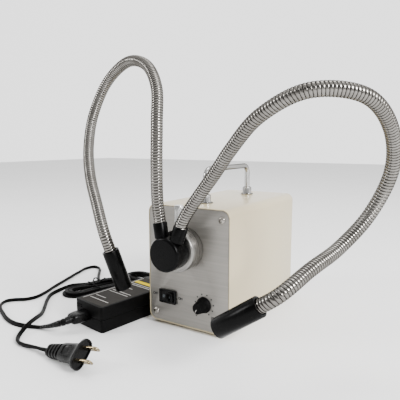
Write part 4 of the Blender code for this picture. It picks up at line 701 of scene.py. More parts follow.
def finish(name):
    """A listed finish, with a fine grain in its relief and slow changes in its colour and its gloss."""
    if name in bpy.data.materials:
        return bpy.data.materials[name]
    base, roughness, metallic, grain, depth, blotch, tone, swing, sockets = FINISHES[name]
    if isinstance(base, str):
        base = getattr(bpy.context.scene.light_finish, base)
    material, tree, shader = new_finish(name, base, roughness, metallic, sockets)
    points = object_points(tree, STRETCHES.get(name, (1, 1, 1)))
    fine = noise(tree, points, grain, 3, 0.6)
    slow = noise(tree, points, blotch, 4, 0.55)
    share = ramp_between(tree, slow, 0.0, 1.0)
    colours = two_tone(tree, share, shade(base, 1 - tone), shade(base, 1 + tone))
    mixed = node(tree, "ShaderNodeMath", (("operation", "ADD"),), _0=fine, _1=slow).outputs[0]
    gloss = ramp_between(tree, mixed, roughness - swing, roughness + swing, 0.7, 1.3)
    join(tree, shader, colours, gloss, fine, depth)
    return material


def lathed(name, base, roughness, centre, upright=False):
    """Turned metal: fine rings round an axis through a centre, level along Y or upright along Z."""
    if name in bpy.data.materials:
        return bpy.data.materials[name]
    material, tree, shader = new_finish(name, base, roughness, 1, {})
    across, beside, run = node(
        tree, "ShaderNodeSeparateXYZ", Vector=object_points(tree, centre=centre)
    ).outputs
    if not upright:
        beside, run = run, beside
    flat = node(tree, "ShaderNodeCombineXYZ", X=across, Y=beside).outputs[0]
    radius = node(tree, "ShaderNodeVectorMath", (("operation", "LENGTH"),), _0=flat).outputs["Value"]
    rings = node(tree, "ShaderNodeCombineXYZ", X=radius, Y=run).outputs[0]
    fine = noise(tree, rings, LATHE_GRAIN, 2)
    share = ramp_between(tree, noise(tree, rings, LATHE_BLOTCH, 2), 0.0, 1.0)
    colours = two_tone(tree, share, *(shade(base, level) for level in LATHE_SHADES))
    gloss = ramp_between(tree, fine, *(roughness + swing for swing in LATHE_SWINGS))
    join(tree, shader, colours, gloss, fine, LATHE_RELIEF)
    return material


def hose_steel():
    """Ribbed steel: bright on the crowns of the ribs, rougher in the grooves and darkened there with painted
    shade; an attribute marks the grooves.
    """
    name = "gooseneck_steel"
    if name in bpy.data.materials:
        return bpy.data.materials[name]
    material, tree, shader = new_finish(name, CROWN_LIGHT, 0.22, 1, {"Specular Tint": HOSE_TINT})
    groove = node(tree, "ShaderNodeAttribute", (("attribute_name", "groove"),)).outputs["Fac"]
    points = object_points(tree)
    fine = noise(tree, points, HOSE_GRAIN, 2)
    slow = ramp_between(tree, noise(tree, points, HOSE_BLOTCH, 3), 0.0, 1.0)
    crown = two_tone(tree, slow, CROWN_DARK, CROWN_LIGHT)
    # Painted shade: the colour darkens towards near-black in the grooves, where shade falls between the ribs.
    dark = ramp_between(tree, groove, 0.0, 0.97, 0.12, 0.6)
    tone = node(tree, "ShaderNodeMix", (("data_type", "RGBA"),), _0=dark, _6=crown, _7=GROOVE_PAINTED_SHADE)
    rough = ramp_between(tree, groove, 0.11, 0.45, 0.0, 1.0)
    speck = node(tree, "ShaderNodeMath", (("operation", "MULTIPLY_ADD"),), _0=fine, _1=0.06, _2=rough)
    join(tree, shader, tone.outputs[2], speck.outputs[0], fine, HOSE_RELIEF)
    return material


# Seats: where a piece goes, and how it is turned.

def front(x, y, z=0.0):
    """On the housing's front: x to the right, y up from the shell's underside, z out of the front."""
    return Matrix.Translation((HOUSING.x + x, HOUSING.y - z, HOUSING.z + y)) @ FORWARD


def upright(x, y, z):
    """On the housing, standing: x to the right, y back from the front rim, z up from the underside."""
    return Matrix.Translation(HOUSING + Vector((x, y, z)))


def facing_along(place, axis):
    return Matrix.Translation(place) @ Vector(axis).to_track_quat("Z", "Y").to_matrix().to_4x4()


def table_seat(place, turn):
    return Matrix.Translation(TABLE + Vector(place)) @ Matrix.Rotation(turn, 4, "Z")


ADAPTER = table_seat((-0.0728, -0.0557, 0), math.radians(-9.1))
MAINS_HANK = table_seat((-0.1850, 0.0440, 0), math.radians(-18))
DC_HANK = table_seat((-0.1240, 0.1115, 0), -QUARTER)
PLUG = (
    table_seat((-0.0342, -0.1190, 0.0144), math.radians(-0.6))
    @ Matrix.Rotation(math.radians(-10.5), 4, "Y") @ Matrix.Rotation(math.radians(38), 4, "X")
)
INLET_PLACE = Vector((-0.030, 0, 0.0143))
PORT_SEAT = Matrix.Translation((PORT.x, HOUSING.y, PORT.z)) @ FORWARD
JACK_PLACE = (-0.030, 0.030)

# Sizes of the shell and the plates.
SLOT_WIDTH = 0.003
SLOT_CORNER = 0.0014
AIR_SLOTS = 5
AIR_SLOT_LENGTH = 0.050
AIR_SLOT_PITCH = 0.010
AIR_SLOT_PLACE = 0.085
PORT_HOLE = 0.0153
DIAL_HOLE = 0.0038
SWITCH_HOLE = (0.0201, 0.0131, 0.0006)
JACK_HOLE = 0.0043
VENTS = 7
VENT_PITCH = 0.0072
VENT_FIELD = 0.0252
PLATE_EDGE = 0.00025


class LIGHT_OT_shell(Operator):
    """Model the painted shell with its air slots underneath"""
    bl_idname = "light.shell"
    bl_label = "Shell"

    def execute(self, context):
        s = context.scene.light_housing
        deselect()
        bpy.ops.mesh.primitive_cube_add(size=1)
        shell = started("shell")
        bpy.ops.transform.resize(value=(SHELL_SIZE.x, SHELL_SIZE.z, SHELL_SIZE.y))
        bpy.ops.transform.translate(value=(0, SHELL_SIZE.z / 2, -SHELL_SIZE.y / 2))
        choose("EDGE", along(2))
        bpy.ops.mesh.bevel(offset=s.corner, segments=12, affect="EDGES")
        choose("FACE", facing(2))
        bpy.ops.mesh.delete(type="FACE")
        tidy()
        wall = shell.modifiers.new("Wall", "SOLIDIFY")
        wall.thickness = s.wall
        wall.offset = -1
        bpy.ops.object.modifier_apply(modifier=wall.name)
        fillet(shell, s.rim, 3)
        settle(shell, front(0, 0))
        slots = []
        for index in range(AIR_SLOTS):
            centre = ((index - AIR_SLOTS // 2) * AIR_SLOT_PITCH, AIR_SLOT_PLACE)
            slots.append(rounded(SLOT_WIDTH, AIR_SLOT_LENGTH, SLOT_CORNER, 4, centre))
        cut(shell, plate("slots", slots, -OVERRUN, s.wall + OVERRUN, upright(0, 0, 0)))
        settle(shell)
        hand_over(shell, finish("cream_enamel_paint"), "cream_enamel", "housing_shell")
        return {"FINISHED"}


class LIGHT_OT_plates(Operator):
    """Cut the brushed front plate and the painted rear plate with its vents"""
    bl_idname = "light.plates"
    bl_label = "Plates"

    def execute(self, context):
        s = context.scene.light_housing
        c = context.scene.light_controls
        inset = s.wall + GAP
        width, height = SHELL_SIZE.x - inset * 2, SHELL_SIZE.z - inset * 2
        outline = rounded(width, height, s.corner - inset, 8, (0, SHELL_SIZE.z / 2))
        holes = [
            ring_of(PORT_HOLE, 48, (PORT.x - HOUSING.x, PORT.z - HOUSING.z)),
            ring_of(DIAL_HOLE, 24, (c.dial_x, c.dial_z)),
            rounded(*SWITCH_HOLE, 2, (-c.switch_x, c.switch_z)),
        ]
        low = -s.recess - s.panel
        face = plate("front_plate", [outline, *holes], low, -s.recess, front(0, 0), PLATE_EDGE)
        hand_over(face, finish("brushed_plate"), "brushed_panel", "front_panel")
        holes = []
        for index in range(VENTS):
            x = (index - VENTS // 2) * VENT_PITCH
            half = math.sqrt(VENT_FIELD ** 2 - x * x)
            holes.append(rounded(SLOT_WIDTH, half * 2, SLOT_CORNER, 4, (x, s.fan_height)))
        holes.append(ring_of(JACK_HOLE, 32, JACK_PLACE))
        low = s.recess - SHELL_SIZE.y
        back = plate("rear_plate", [outline, *holes], low, low + s.panel, front(0, 0), PLATE_EDGE)
        hand_over(back, finish("cream_enamel_paint"), "cream_enamel", "rear_panel")
        return {"FINISHED"}


# Each point of the dome is a share of the screw's radius, and a height.
SCREW_DOME = (
    (0.94, 0), (1, 0.0002), (1, 0.0005), (0.94, 0.0009), (0.8, 0.0014), (0.6, 0.00185), (0.35, 0.0021),
    (0.1, 0.0022),
)
SCREW_CROSS_SHARES = (1.15, 0.24)
SCREW_CROSS_DEPTH = 0.0026
SCREW_CROSS_HEIGHT = 0.0023
SCREW_CROSS_TURN = 0.4
FOOT_PROFILE = (
    (0.0020, 0.0003), (0.0044, 0.0), (0.0050, 0.0002), (0.0055, 0.0009), (0.0055, 0.0039), (0.0052, 0.0042),
)
FOOT_X = 0.0375
FOOT_Y = (0.020, 0.156)


class LIGHT_OT_screws(Operator):
    """Model one cross-head screw and copy it to the corners of both plates"""
    bl_idname = "light.screws"
    bl_label = "Screws"

    def execute(self, context):
        s = context.scene.light_housing
        across = SHELL_SIZE.x / 2 - s.screw_inset_x
        low, high = s.screw_inset_z, SHELL_SIZE.z - s.screw_inset_z
        corners = [(-across, low), (across, low), (-across, high), (across, high)]
        dome = [(s.screw_radius * share, height) for share, height in SCREW_DOME]
        first = turned("front_screw_piece_1", dome, 40, Matrix.Identity(4))
        size = (*(s.screw_radius * share for share in SCREW_CROSS_SHARES), SCREW_CROSS_DEPTH)
        for turn in (0, QUARTER):
            seat = Matrix.Rotation(turn + SCREW_CROSS_TURN, 4, "Z")
            cut(first, block("cross", size, seat, (0, 0, SCREW_CROSS_HEIGHT)))
        settle(first, front(*corners[0], -s.recess))
        middle = Matrix.Translation((HOUSING.x, HOUSING.y + SHELL_SIZE.y / 2, 0))
        about = middle @ Matrix.Rotation(TURN / 2, 4, "Z") @ middle.inverted()
        shifts = [(x - corners[0][0], 0, y - corners[0][1]) for x, y in corners]
        fronts = [first]
        for index, shift in enumerate(shifts[1:], 2):
            fronts.append(twin(first, f"front_screw_piece_{index}", shift))
        for index, shift in enumerate(shifts, 1):
            rear = settle(twin(first, f"rear_screw_piece_{index}", shift), about)
            hand_over(rear, finish("plain_steel"), "steel")
        for index, screw in enumerate(fronts, 1):
            hand_over(screw, finish("plain_steel"), "steel", f"front_screw_{index}")
        return {"FINISHED"}


class LIGHT_OT_feet(Operator):
    """Model one rubber foot and copy it to the four corners underneath"""
    bl_idname = "light.feet"
    bl_label = "Feet"

    def execute(self, context):
        places = [(x, y) for y in FOOT_Y for x in (-FOOT_X, FOOT_X)]
        first = turned("foot_piece_1", FOOT_PROFILE, 40, upright(*places[0], -HOUSING.z))
        for index, (x, y) in enumerate(places[1:], 2):
            foot = twin(first, f"foot_piece_{index}", (x - places[0][0], y - places[0][1], 0))
            hand_over(foot, finish("foot_rubber"), "rubber")
        hand_over(first, finish("foot_rubber"), "rubber", "foot_1", "foot_2", "foot_3", "foot_4")
        return {"FINISHED"}


HANDLE_SUNK = 0.003
BEND_STEPS = 12
NUT_PROFILE = (
    (0.0074, 0.00005), (0.0080, 0.0004), (0.0080, 0.0009), (0.0075, 0.0012), (0.0057, 0.0013),
    (0.0056, 0.0016), (0.0056, 0.0087), (0.0050, 0.0093), (0.0044, 0.0096),
)


class LIGHT_OT_handle(Operator):
    """Bend the carrying handle and fit its flanged nuts"""
    bl_idname = "light.handle"
    bl_label = "Handle"

    def execute(self, context):
        s = context.scene.light_housing
        x, fore, rear = s.handle_x, s.handle_front, s.handle_rear
        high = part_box("handle_bar")[1].z - HOUSING.z - s.rod
        low = SHELL_SIZE.z - s.wall - HANDLE_SUNK
        points = [Vector((x, fore, low))]
        bend = arc(s.handle_bend, (0, high - s.handle_bend), TURN / 2, QUARTER, BEND_STEPS)
        points += [Vector((x, fore + s.handle_bend + run, z)) for run, z in bend]
        points += [Vector((x, rear - s.handle_bend - run, z)) for run, z in reversed(bend)]
        points.append(Vector((x, rear, low)))
        bar = rod("handle_piece", points, s.rod, upright(0, 0, 0), 7)
        hand_over(bar, finish("polished_chrome"), "chrome", "handle_bar")
        bore = s.rod + GAP
        profile = [(bore, NUT_PROFILE[0][1]), *NUT_PROFILE, (bore, NUT_PROFILE[-1][1])]
        nut = turned("handle_nut_piece_1", profile, 48, upright(x, fore, SHELL_SIZE.z), ring=True)
        other = twin(nut, "handle_nut_piece_2", (0, rear - fore, 0))
        hand_over(nut, finish("polished_chrome"), "chrome", "handle_nut_front", "handle_nut_rear")
        hand_over(other, finish("polished_chrome"), "chrome")
        return {"FINISHED"}


# Profiles of the light port, the guide and its clamp: points, or offsets from an edge.
PORT_BORE = 0.0103
BARREL_REAR = ((-0.0004, -0.0005), (0, -0.0001))
BARREL_FRONT = ((0, -0.0014), (-0.0003, -0.0009), (-0.0012, -0.0001), (-0.0016, 0))
PORT_MOUTH = ((0.0007, 0), (0, -0.0007))
CLAMP_HOLE = ((0.0024, 0.008), (0.0024, 0.030))
SPIGOT_REAR = ((0.0095, -0.003), (0.010, -0.0025), (0.010, 0.0195))
SPIGOT_FRONT = ((0.0097, 0), (0.0080, 0), (0.0080, 0.0096), (0.0076, 0.010))
SHANK_PROFILE = ((0.0018, 0.0103), (0.0020, 0.0106), (0.0020, 0.0373))
HEAD_RADIUS = 0.0048
HEAD_PROFILE = (
    (0.0023, 0.0002), (0.0040, 0), (0.0048, 0.0008), (0.0048, 0.0122), (0.0045, 0.0124), (0.0045, 0.0132),
    (0.0048, 0.0134), (0.0048, 0.0172), (0.0043, 0.0178), (0.0036, 0.018),
)
KNURL = 0.0002
HUB_BORE = ((0.0083, 0.0101), (0.0083, 0))
HUB_REAR = ((-0.0008, 0), (-0.0002, 0.0003), (0, 0.0009))
HUB_TIP = 0.002
COLLAR_HOLE = ((0.0071, -0.0004), (0.0071, 0.02))
COLLAR_BORE = 0.0050
COLLAR_REAR = ((-0.0003, -0.0003), (0, 0))
COLLAR_FRONT = ((0, -0.0006), (-0.00025, -0.00015), (-0.0006, 0))
COLLAR_DEPTH = 0.004
HOSE_SUNK = 0.0007


class LIGHT_OT_port(Operator):
    """Turn the light port's barrel, the guide's spigot and the clamping screw"""
    bl_idname = "light.port"
    bl_label = "Light port"

    def execute(self, context):
        s = context.scene.light_guide
        end, centre = s.barrel_length, PORT_SEAT.translation
        profile = [
            (PORT_BORE, BARREL_REAR[0][1]), *shifted(BARREL_REAR, s.barrel, 0),
            *shifted(BARREL_FRONT, s.barrel, end), *shifted(PORT_MOUTH, PORT_BORE, end),
        ]
        barrel = turned("barrel_piece", profile, 128, PORT_SEAT, ring=True)
        clamp = Vector(JOINTS["clamp_turn"]["pos_m"])
        stand = Matrix.Translation((clamp.x, clamp.y, PORT.z))
        cut(barrel, turned("bore", CLAMP_HOLE, 24, stand))
        settle(barrel)
        metal = lathed("turned_aluminium", context.scene.light_finish.bright, 0.27, centre)
        hand_over(barrel, metal, "bright_aluminium", "light_port_barrel")
        profile = [*SPIGOT_REAR, *shifted(SPIGOT_FRONT, 0, end)]
        spigot = turned("spigot_piece", profile, 64, PORT_SEAT)
        metal = lathed("turned_steel", (0.5, 0.49, 0.48), 0.3, centre)
        hand_over(spigot, metal, "steel", "guide_spigot", body="spigot")
        shank = turned("clamp_shank_piece", SHANK_PROFILE, 32, stand)
        hand_over(shank, finish("plain_steel"), "steel", "thumbscrew_shank", body="clamp_screw")
        flute = (1 - KNURL / HEAD_RADIUS, 1, 2, lambda point: point.xy.length > HEAD_RADIUS - KNURL / 2)
        profile = shifted(HEAD_PROFILE, 0, clamp.z - PORT.z)
        knurled = turned("clamp_head_piece", profile, 96, stand, flute=flute)
        metal = lathed("knurled_aluminium", (0.62, 0.62, 0.61), 0.32, (clamp.x, clamp.y, 0), upright=True)
        hand_over(knurled, metal, "bright_aluminium", "thumbscrew_head", body="clamp_head")
        return {"FINISHED"}


def collar_seat(s, side):
    turn = Matrix.Rotation(s.hub_turn, 4, "Y")
    middle = PORT + Vector((0, -GAP - s.hub_length / 2, 0))
    place = middle + turn @ Vector((side * s.spread, 0, s.lift))
    lean = s.lean + (s.bend_out if side > 0 else 0)
    return Matrix.Translation(place) @ turn @ Matrix.Rotation(side * lean, 4, "Y")


class LIGHT_OT_hub(Operator):
    """Turn the black hub and the two collars that hold the goosenecks"""
    bl_idname = "light.hub"
    bl_label = "Hub"

    def execute(self, context):
        s = context.scene.light_guide
        rear = s.barrel_length + GAP
        end, high = rear + s.hub_length, s.collar_length
        profile = [
            *shifted(HUB_BORE, 0, rear), *shifted(HUB_REAR, s.hub, rear),
            *arc(s.hub_round, (s.hub - s.hub_round, end - s.hub_round), 0, QUARTER, 10), (HUB_TIP, end),
        ]
        hub = turned("hub_piece", profile, 128, PORT_SEAT)
        for side in (-1, 1):
            cut(hub, turned("hole", COLLAR_HOLE, 48, collar_seat(s, side)))
        settle(hub)
        hand_over(hub, finish("black_anodising"), "black_anodised", "guide_hub", body="hub")
        profile = [
            (COLLAR_BORE, COLLAR_REAR[0][1]), *shifted(COLLAR_REAR, s.collar, 0),
            *shifted(COLLAR_FRONT, s.collar, high), (s.hose - HOSE_SUNK, high),
            (s.hose - HOSE_SUNK, high - COLLAR_DEPTH), (COLLAR_BORE, high - COLLAR_DEPTH),
        ]
        for name, side in (("left", -1), ("right", 1)):
            collar = turned(f"{name}_collar_piece", profile, 64, collar_seat(s, side), ring=True)
            hand_over(collar, finish("black_anodising"), "black_anodised", f"{name}_collar", body="hub")
        return {"FINISHED"}


HINGES = 6
HOSE_IN_COLLAR = 0.003
HOSE_IN_NOZZLE = 0.0075
RINGS_PER_RIB = 8
RIB_FLATNESS = 2.6
RIB_FULLNESS = 0.6
HOSE_SHARP = math.radians(60)


def rib(share):
    """The height of a rib over its groove, from 0 to 1, at a share of its pitch."""
    wave = abs(share - math.floor(share) - 0.5) * 2
    return max(0, 1 - wave ** RIB_FLATNESS) ** RIB_FULLNESS


def hose_piece(name, s, points, frames, first, last, step):
    """One stretch of ribbed hose: a helical rib runs round the whole arm without a break."""
    corners, faces, grooves = [], [], []
    sides = s.hose_sides
    for ring in range(first, last + 1):
        side, up = frames[ring]
        for index in range(sides):
            share = index / sides
            height = rib(ring * step / s.pitch - share)
            radius = s.valley + (s.hose - s.valley) * height
            outward = side * math.cos(share * TURN) + up * math.sin(share * TURN)
            corners.append(points[ring] + outward * radius)
            grooves.append(1 - height)
    for ring in range(last - first):
        for index in range(sides):
            after = (index + 1) % sides
            low, high = ring * sides, (ring + 1) * sides
            faces.append((low + index, low + after, high + after, high + index))
    faces += [tuple(range(sides))[::-1], tuple(range(len(corners) - sides, len(corners)))]
    mesh = bpy.data.meshes.new(name)
    mesh.from_pydata([tuple(corner) for corner in corners], [], faces)
    # The groove attribute drives the rougher grooves and the painted shade in them.
    mesh.attributes.new("groove", "FLOAT", "POINT").data.foreach_set("value", grooves)
    piece = take(linked(name, mesh))
    bpy.ops.object.mode_set(mode="EDIT")
    bpy.ops.mesh.select_all(action="SELECT")
    bpy.ops.mesh.normals_make_consistent(inside=False)
    bpy.ops.object.mode_set(mode="OBJECT")
    bpy.ops.object.shade_smooth_by_angle(angle=HOSE_SHARP)
    piece.data.materials.append(hose_steel())
    return piece


def make_arm(s, name, side, route):
    """A gooseneck in seven pieces, cut between its hinges, and the last lies in the nozzle."""
    line = smooth_path(route)
    root = collar_seat(s, side) @ Vector((0, 0, s.collar_length - HOSE_IN_COLLAR))
    tip = line[-1] + (line[-1] - line[-2]).normalized() * HOSE_IN_NOZZLE
    points, total = even([root, *line, tip], s.pitch / RINGS_PER_RIB)
    step = total / (len(points) - 1)
    frames = carried_frames(points)
    lead_in = (line[0] - root).length
    span = (total - lead_in - HOSE_IN_NOZZLE) / HINGES
    joins = [round((lead_in + span * (index + 0.5)) / step) for index in range(HINGES)]
    bounds = [0, *joins, len(points) - 1]
    bodies = ["hub", *(f"{name}_arm_{index + 1}" for index in range(HINGES))]
    for index, (first, last) in enumerate(zip(bounds, bounds[1:])):
        piece = hose_piece(f"{name}_gooseneck_{index + 1}", s, points, frames, first, last, step)
        if index == HINGES:
            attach(piece, bodies[-1])
            continue
        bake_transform(piece)
        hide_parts(f"{name}_hose_{index + 1}")


class LIGHT_OT_goosenecks(Operator):
    """Draw the two ribbed steel goosenecks, each in pieces cut between its joints"""
    bl_idname = "light.goosenecks"
    bl_label = "Goosenecks"

    def execute(self, context):
        make_arm(context.scene.light_guide, "left", -1, LEFT_ARM_ROUTE)
        make_arm(context.scene.light_guide, "right", 1, RIGHT_ARM_ROUTE)
        return {"FINISHED"}


# Profiles of a nozzle and its window: offsets from an edge.
NOZZLE_BORE = 0.0069
NOZZLE_WAIST = 0.0045
SOCKET_DEPTH = 0.008
NOZZLE_MOUTH = ((0, 0.0003), (0.0003, 0))
NOZZLE_REAR = ((-0.0007, 0), (-0.0002, 0.0002), (0, 0.0007))
NOZZLE_FRONT = ((0, -0.0009), (-0.0003, -0.0003), (-0.0009, 0))
NOZZLE_TIP = ((0.0003, 0), (0, -0.0003), (0, -0.0035))
LENS_PROFILE = (
    (0.0066, -0.0032), (0.0066, -0.0018), (0.0058, -0.00145), (0.0042, -0.00125), (0.002, -0.0012),
)


class LIGHT_OT_nozzles(Operator):
    """Turn the black nozzles and the glass windows in their mouths"""
    bl_idname = "light.nozzles"
    bl_label = "Nozzles"

    def execute(self, context):
        s = context.scene.light_guide
        end = s.nozzle_length
        profile = [
            *shifted(NOZZLE_MOUTH, NOZZLE_BORE, 0), *shifted(NOZZLE_REAR, s.nozzle, 0),
            *shifted(NOZZLE_FRONT, s.nozzle, end), *shifted(NOZZLE_TIP, NOZZLE_BORE, end),
            (NOZZLE_WAIST, end + NOZZLE_TIP[-1][1]), (NOZZLE_WAIST, SOCKET_DEPTH),
            (NOZZLE_BORE, SOCKET_DEPTH),
        ]
        for name, route in (("left", LEFT_ARM_ROUTE), ("right", RIGHT_ARM_ROUTE)):
            line = smooth_path(route)
            seat = facing_along(line[-1], line[-1] - line[-2])
            body = f"{name}_arm_{HINGES}"
            nozzle = turned(f"{name}_nozzle_piece", profile, 96, seat, ring=True)
            hand_over(nozzle, finish("black_anodising"), "black_anodised", f"{name}_nozzle", body=body)
            window = turned(f"{name}_window_piece", shifted(LENS_PROFILE, 0, end), 48, seat)
            hand_over(window, finish("window_glass"), "window_glass", f"{name}_window", body=body)
        return {"FINISHED"}


# The knob's profile, its pointer as two bars (size, place along the radius), and the print of the dial.
KNOB_SKIRT = ((-0.0006, 0.0002), (0, 0.0005), (0, 0.0019), (-0.0002, 0.0022))
KNOB_GRIP = ((0.0079, 0.0025), (0.0076, 0.0032), (0.0066, 0.0090))
KNOB_TOP = ((0.0057, -0.0008), (0.0053, -0.0002), (0.0049, 0), (0.0047, -0.0003), (0.001, -0.0004))
GRIP_FLUTE = 0.0007
GRIP_LOW = 0.0033
GRIP_TOP_INSET = 0.0001
KNOB_TURN = math.radians(240)
POINTER = (0.0034, 0.0008, 0.0001)
POINTER_PLACE = 0.0029
POINTER_SUNK = 0.00033
TICK = (0.0019, 0.0009, 0.0001)
TICK_PLACE = 0.0074
TICK_HEIGHT = 0.00285
DIAL_SWEEP = math.radians(300)
DIAL_DOT = 0.0009
DIAL_NUMBER = 0.0042
DIAL_NUMBER_X = 0.0098
DIAL_NUMBER_DROP = 0.0130


class LIGHT_OT_dimmer(Operator):
    """Model the fluted dimmer knob, its pointer and its printed dial"""
    bl_idname = "light.dimmer"
    bl_label = "Dimmer"

    def execute(self, context):
        s = context.scene.light_controls
        plane, top = -context.scene.light_housing.recess, s.knob_height
        seat = front(s.dial_x, s.dial_z)
        profile = [*shifted(KNOB_SKIRT, s.knob, 0), *KNOB_GRIP, *shifted(KNOB_TOP, 0, top)]
        share = 1 - GRIP_FLUTE / profile[0][0]
        flute = (share, 0, 3, lambda point: GRIP_LOW < point.z < top - GRIP_TOP_INSET)
        knob = turned("knob_piece", profile, 72, seat, flute=flute)
        hand_over(knob, finish("grained_plastic"), "black_plastic", "dimmer_knob", body="knob")
        ahead = seat @ Matrix.Rotation(KNOB_TURN, 4, "Z")
        for name, size, place, height in (
            ("pointer", POINTER, POINTER_PLACE, top - POINTER_SUNK),
            ("pointer_tick", TICK, TICK_PLACE, TICK_HEIGHT),
        ):
            bar = block(name, size, ahead, (place, 0, height))
            hand_over(bar, finish("white_print"), "black_plastic", body="knob")
        dots = []
        for index in range(s.dial_dots):
            turn = KNOB_TURN - DIAL_SWEEP * index / (s.dial_dots - 1)
            centre = (s.dial_ring * math.cos(turn), s.dial_ring * math.sin(turn))
            dots.append(ring_of(DIAL_DOT, 16, centre))
        marks = plate("dial_dots", dots, 0, PRINT * 2, front(s.dial_x, s.dial_z, plane))
        hand_over(marks, finish("black_print"), "black_plastic")
        for words, x in (("0", -DIAL_NUMBER_X), ("10", DIAL_NUMBER_X)):
            place = front(s.dial_x + x, s.dial_z - DIAL_NUMBER_DROP, plane)
            text = lettering(f"dial_number_{words}", words, DIAL_NUMBER, place)
            hand_over(text, finish("black_print"), "black_plastic")
        return {"FINISHED"}


# The switch. A hole or a plate is a width, a height and a corner; a word or a mark is a name and a place.
BEZEL_CORNER = 0.0007
BEZEL_PROUD = 0.0016
BEZEL_EDGE = 0.0002
ROCKER_HOLE = (0.0174, 0.0108, 0.0006)
WELL = (0.0190, 0.0120, 0.0006)
SLEEVE = (0.0194, 0.0124, 0.0006)
WELL_LOW, WELL_HIGH = -0.016, -0.0105
SWITCH_WORDS = (("OFF", -0.04355, 0.0307), ("ON", -0.0093, 0.0304))
SWITCH_WORD = 0.0036
ROCKER_RADIUS = 0.0083
ROCKER_HALF = 0.0051
ROCKER_EDGE = 0.0003
ROCKER_REST = math.radians(-10)
ROCKER_FLANK = (math.radians(-27), math.radians(10))
ROCKER_DIP = 0.0022
ROCKER_STEPS = 8
MARK_PLACE = 0.0043
MARK_RING = (0.0014, 0.0011)
MARK_BAR = (0.00035, 0.0024, 0.00015)


class LIGHT_OT_switch(Operator):
    """Model the rocker switch, its bezel and the words beside it"""
    bl_idname = "light.switch"
    bl_label = "Switch"

    def execute(self, context):
        s = context.scene.light_controls
        plane = -context.scene.light_housing.recess
        seat = front(-s.switch_x, s.switch_z)
        outlines = [rounded(s.bezel_width, s.bezel_height, BEZEL_CORNER, 4), rounded(*ROCKER_HOLE, 4)]
        bezel = plate("switch_bezel", outlines, plane + GAP, plane + GAP + BEZEL_PROUD, seat, BEZEL_EDGE)
        hand_over(bezel, finish("smooth_plastic"), "black_plastic", "switch_body")
        well = plate("switch_well", [rounded(*WELL, 3)], WELL_LOW, WELL_HIGH, seat)
        outlines = [rounded(*SLEEVE, 3), rounded(*ROCKER_HOLE, 3)]
        sleeve = plate("switch_sleeve", outlines, WELL_HIGH, plane + GAP, seat)
        for part in (well, sleeve):
            hand_over(part, finish("grained_plastic"), "black_plastic")
        self.rocker()
        for words, x, z in SWITCH_WORDS:
            text = lettering(f"switch_{words.lower()}", words, SWITCH_WORD, front(x, z, plane))
            hand_over(text, finish("black_print"), "black_plastic")
        return {"FINISHED"}

    def rocker(self):
        rest = Matrix.Translation(JOINTS["rocker_tilt"]["pos_m"]) @ Matrix.Rotation(ROCKER_REST, 4, "Z")
        flank = arc(ROCKER_RADIUS, (0, 0), *ROCKER_FLANK, 10)
        edge, rise = flank[0][0], flank[0][1] + ROCKER_DIP

        def face(x):
            return rise * (x / edge) ** 2 - ROCKER_DIP

        shape = [*flank, *((-x, y) for x, y in reversed(flank))]
        places = [edge * (index / ROCKER_STEPS - 1) for index in range(1, ROCKER_STEPS * 2)]
        shape += [(x, face(x)) for x in places]
        rocker = plate("rocker_piece", [shape], -ROCKER_HALF, ROCKER_HALF, rest, ROCKER_EDGE)
        hand_over(rocker, finish("smooth_plastic"), "black_plastic", "switch_rocker", body="rocker")
        marks = (
            ("off", -MARK_PLACE, [ring_of(radius, 32) for radius in MARK_RING]),
            ("on", MARK_PLACE, [rounded(*MARK_BAR, 3)]),
        )
        for name, x, outlines in marks:
            normal = Vector((rise * 2 * x / edge ** 2, -1, 0)).normalized()
            up = Vector((0, 0, 1))
            turn = Matrix((up.cross(normal), up, normal)).transposed().to_4x4()
            seat = rest @ Matrix.Translation((x, face(x), 0)) @ turn
            mark = plate(f"rocker_mark_{name}", outlines, 0, PRINT * 3, seat)
            hand_over(mark, finish("grey_print"), "black_plastic", body="rocker")


class LIGHT_OT_insides(Operator):
    """Give the lamp module, fan, board and sockets inside their own finishes"""
    bl_idname = "light.insides"
    bl_label = "Insides"

    def execute(self, context):
        finishes = {
            "led_module": lathed("heat_sink", (0.6, 0.6, 0.6), 0.4, PORT_SEAT.translation),
            "fan_frame": finish("grained_plastic"), "fan_rotor": finish("smooth_plastic"),
            "driver_board": finish("board_lacquer"), "dimmer_pot": finish("plain_steel"),
            "dc_jack": finish("grained_plastic"),
        }
        for name, material in finishes.items():
            for slot in bpy.data.objects[name].material_slots:
                slot.material = material
        return {"FINISHED"}


RIB_SHARE = 0.62
GROOVE_SHARES = (0.7, 0.92)


def ribbed(start, end, low, high, ribs, groove):
    """A profile that tapers from one radius to another between two heights, ribbed."""
    profile = []
    pitch = (high - low) / ribs
    for index in range(ribs):
        near = start + (end - start) * index / ribs
        far = start + (end - start) * (index + RIB_SHARE) / ribs
        z = low + pitch * index
        profile += [(near, z), (far, z + pitch * RIB_SHARE)]
        profile += [(far - groove, z + pitch * share) for share in GROOVE_SHARES]
    return [*profile, (end, high)]


# Strain reliefs: radii at the start and the end, heights there, ribs, and the depth of a groove.
DC_RELIEF = (0.0033, 0.0024, 0.0200, 0.0330, 6, 0.0005)
OUTLET_RELIEF = (0.0042, 0.0024, 0.0002, 0.012, 5, 0.0007)
DC_PLUG_PROFILE = (
    (0.0024, 0), (0.0043, 0), (0.0050, 0.0007), (0.0050, 0.0042), (0.0047, 0.0045), (0.0047, 0.0052),
    (0.0050, 0.0055), (0.0050, 0.0186), (0.0043, 0.0198),
)


class LIGHT_OT_dc_plug(Operator):
    """Turn the low-voltage plug in the rear socket, with its ribbed strain relief"""
    bl_idname = "light.dc_plug"
    bl_label = "Low-voltage plug"

    def execute(self, context):
        start = SHELL_SIZE.y + context.scene.light_housing.jack_proud + GAP
        seat = upright(JACK_PLACE[0], start, JACK_PLACE[1]) @ Matrix.Rotation(-QUARTER, 4, "X")
        plug = turned("dc_plug_piece", [*DC_PLUG_PROFILE, *ribbed(*DC_RELIEF)], 48, seat)
        hand_over(plug, finish("smooth_plastic"), "black_plastic", "dc_plug")
        return {"FINISHED"}


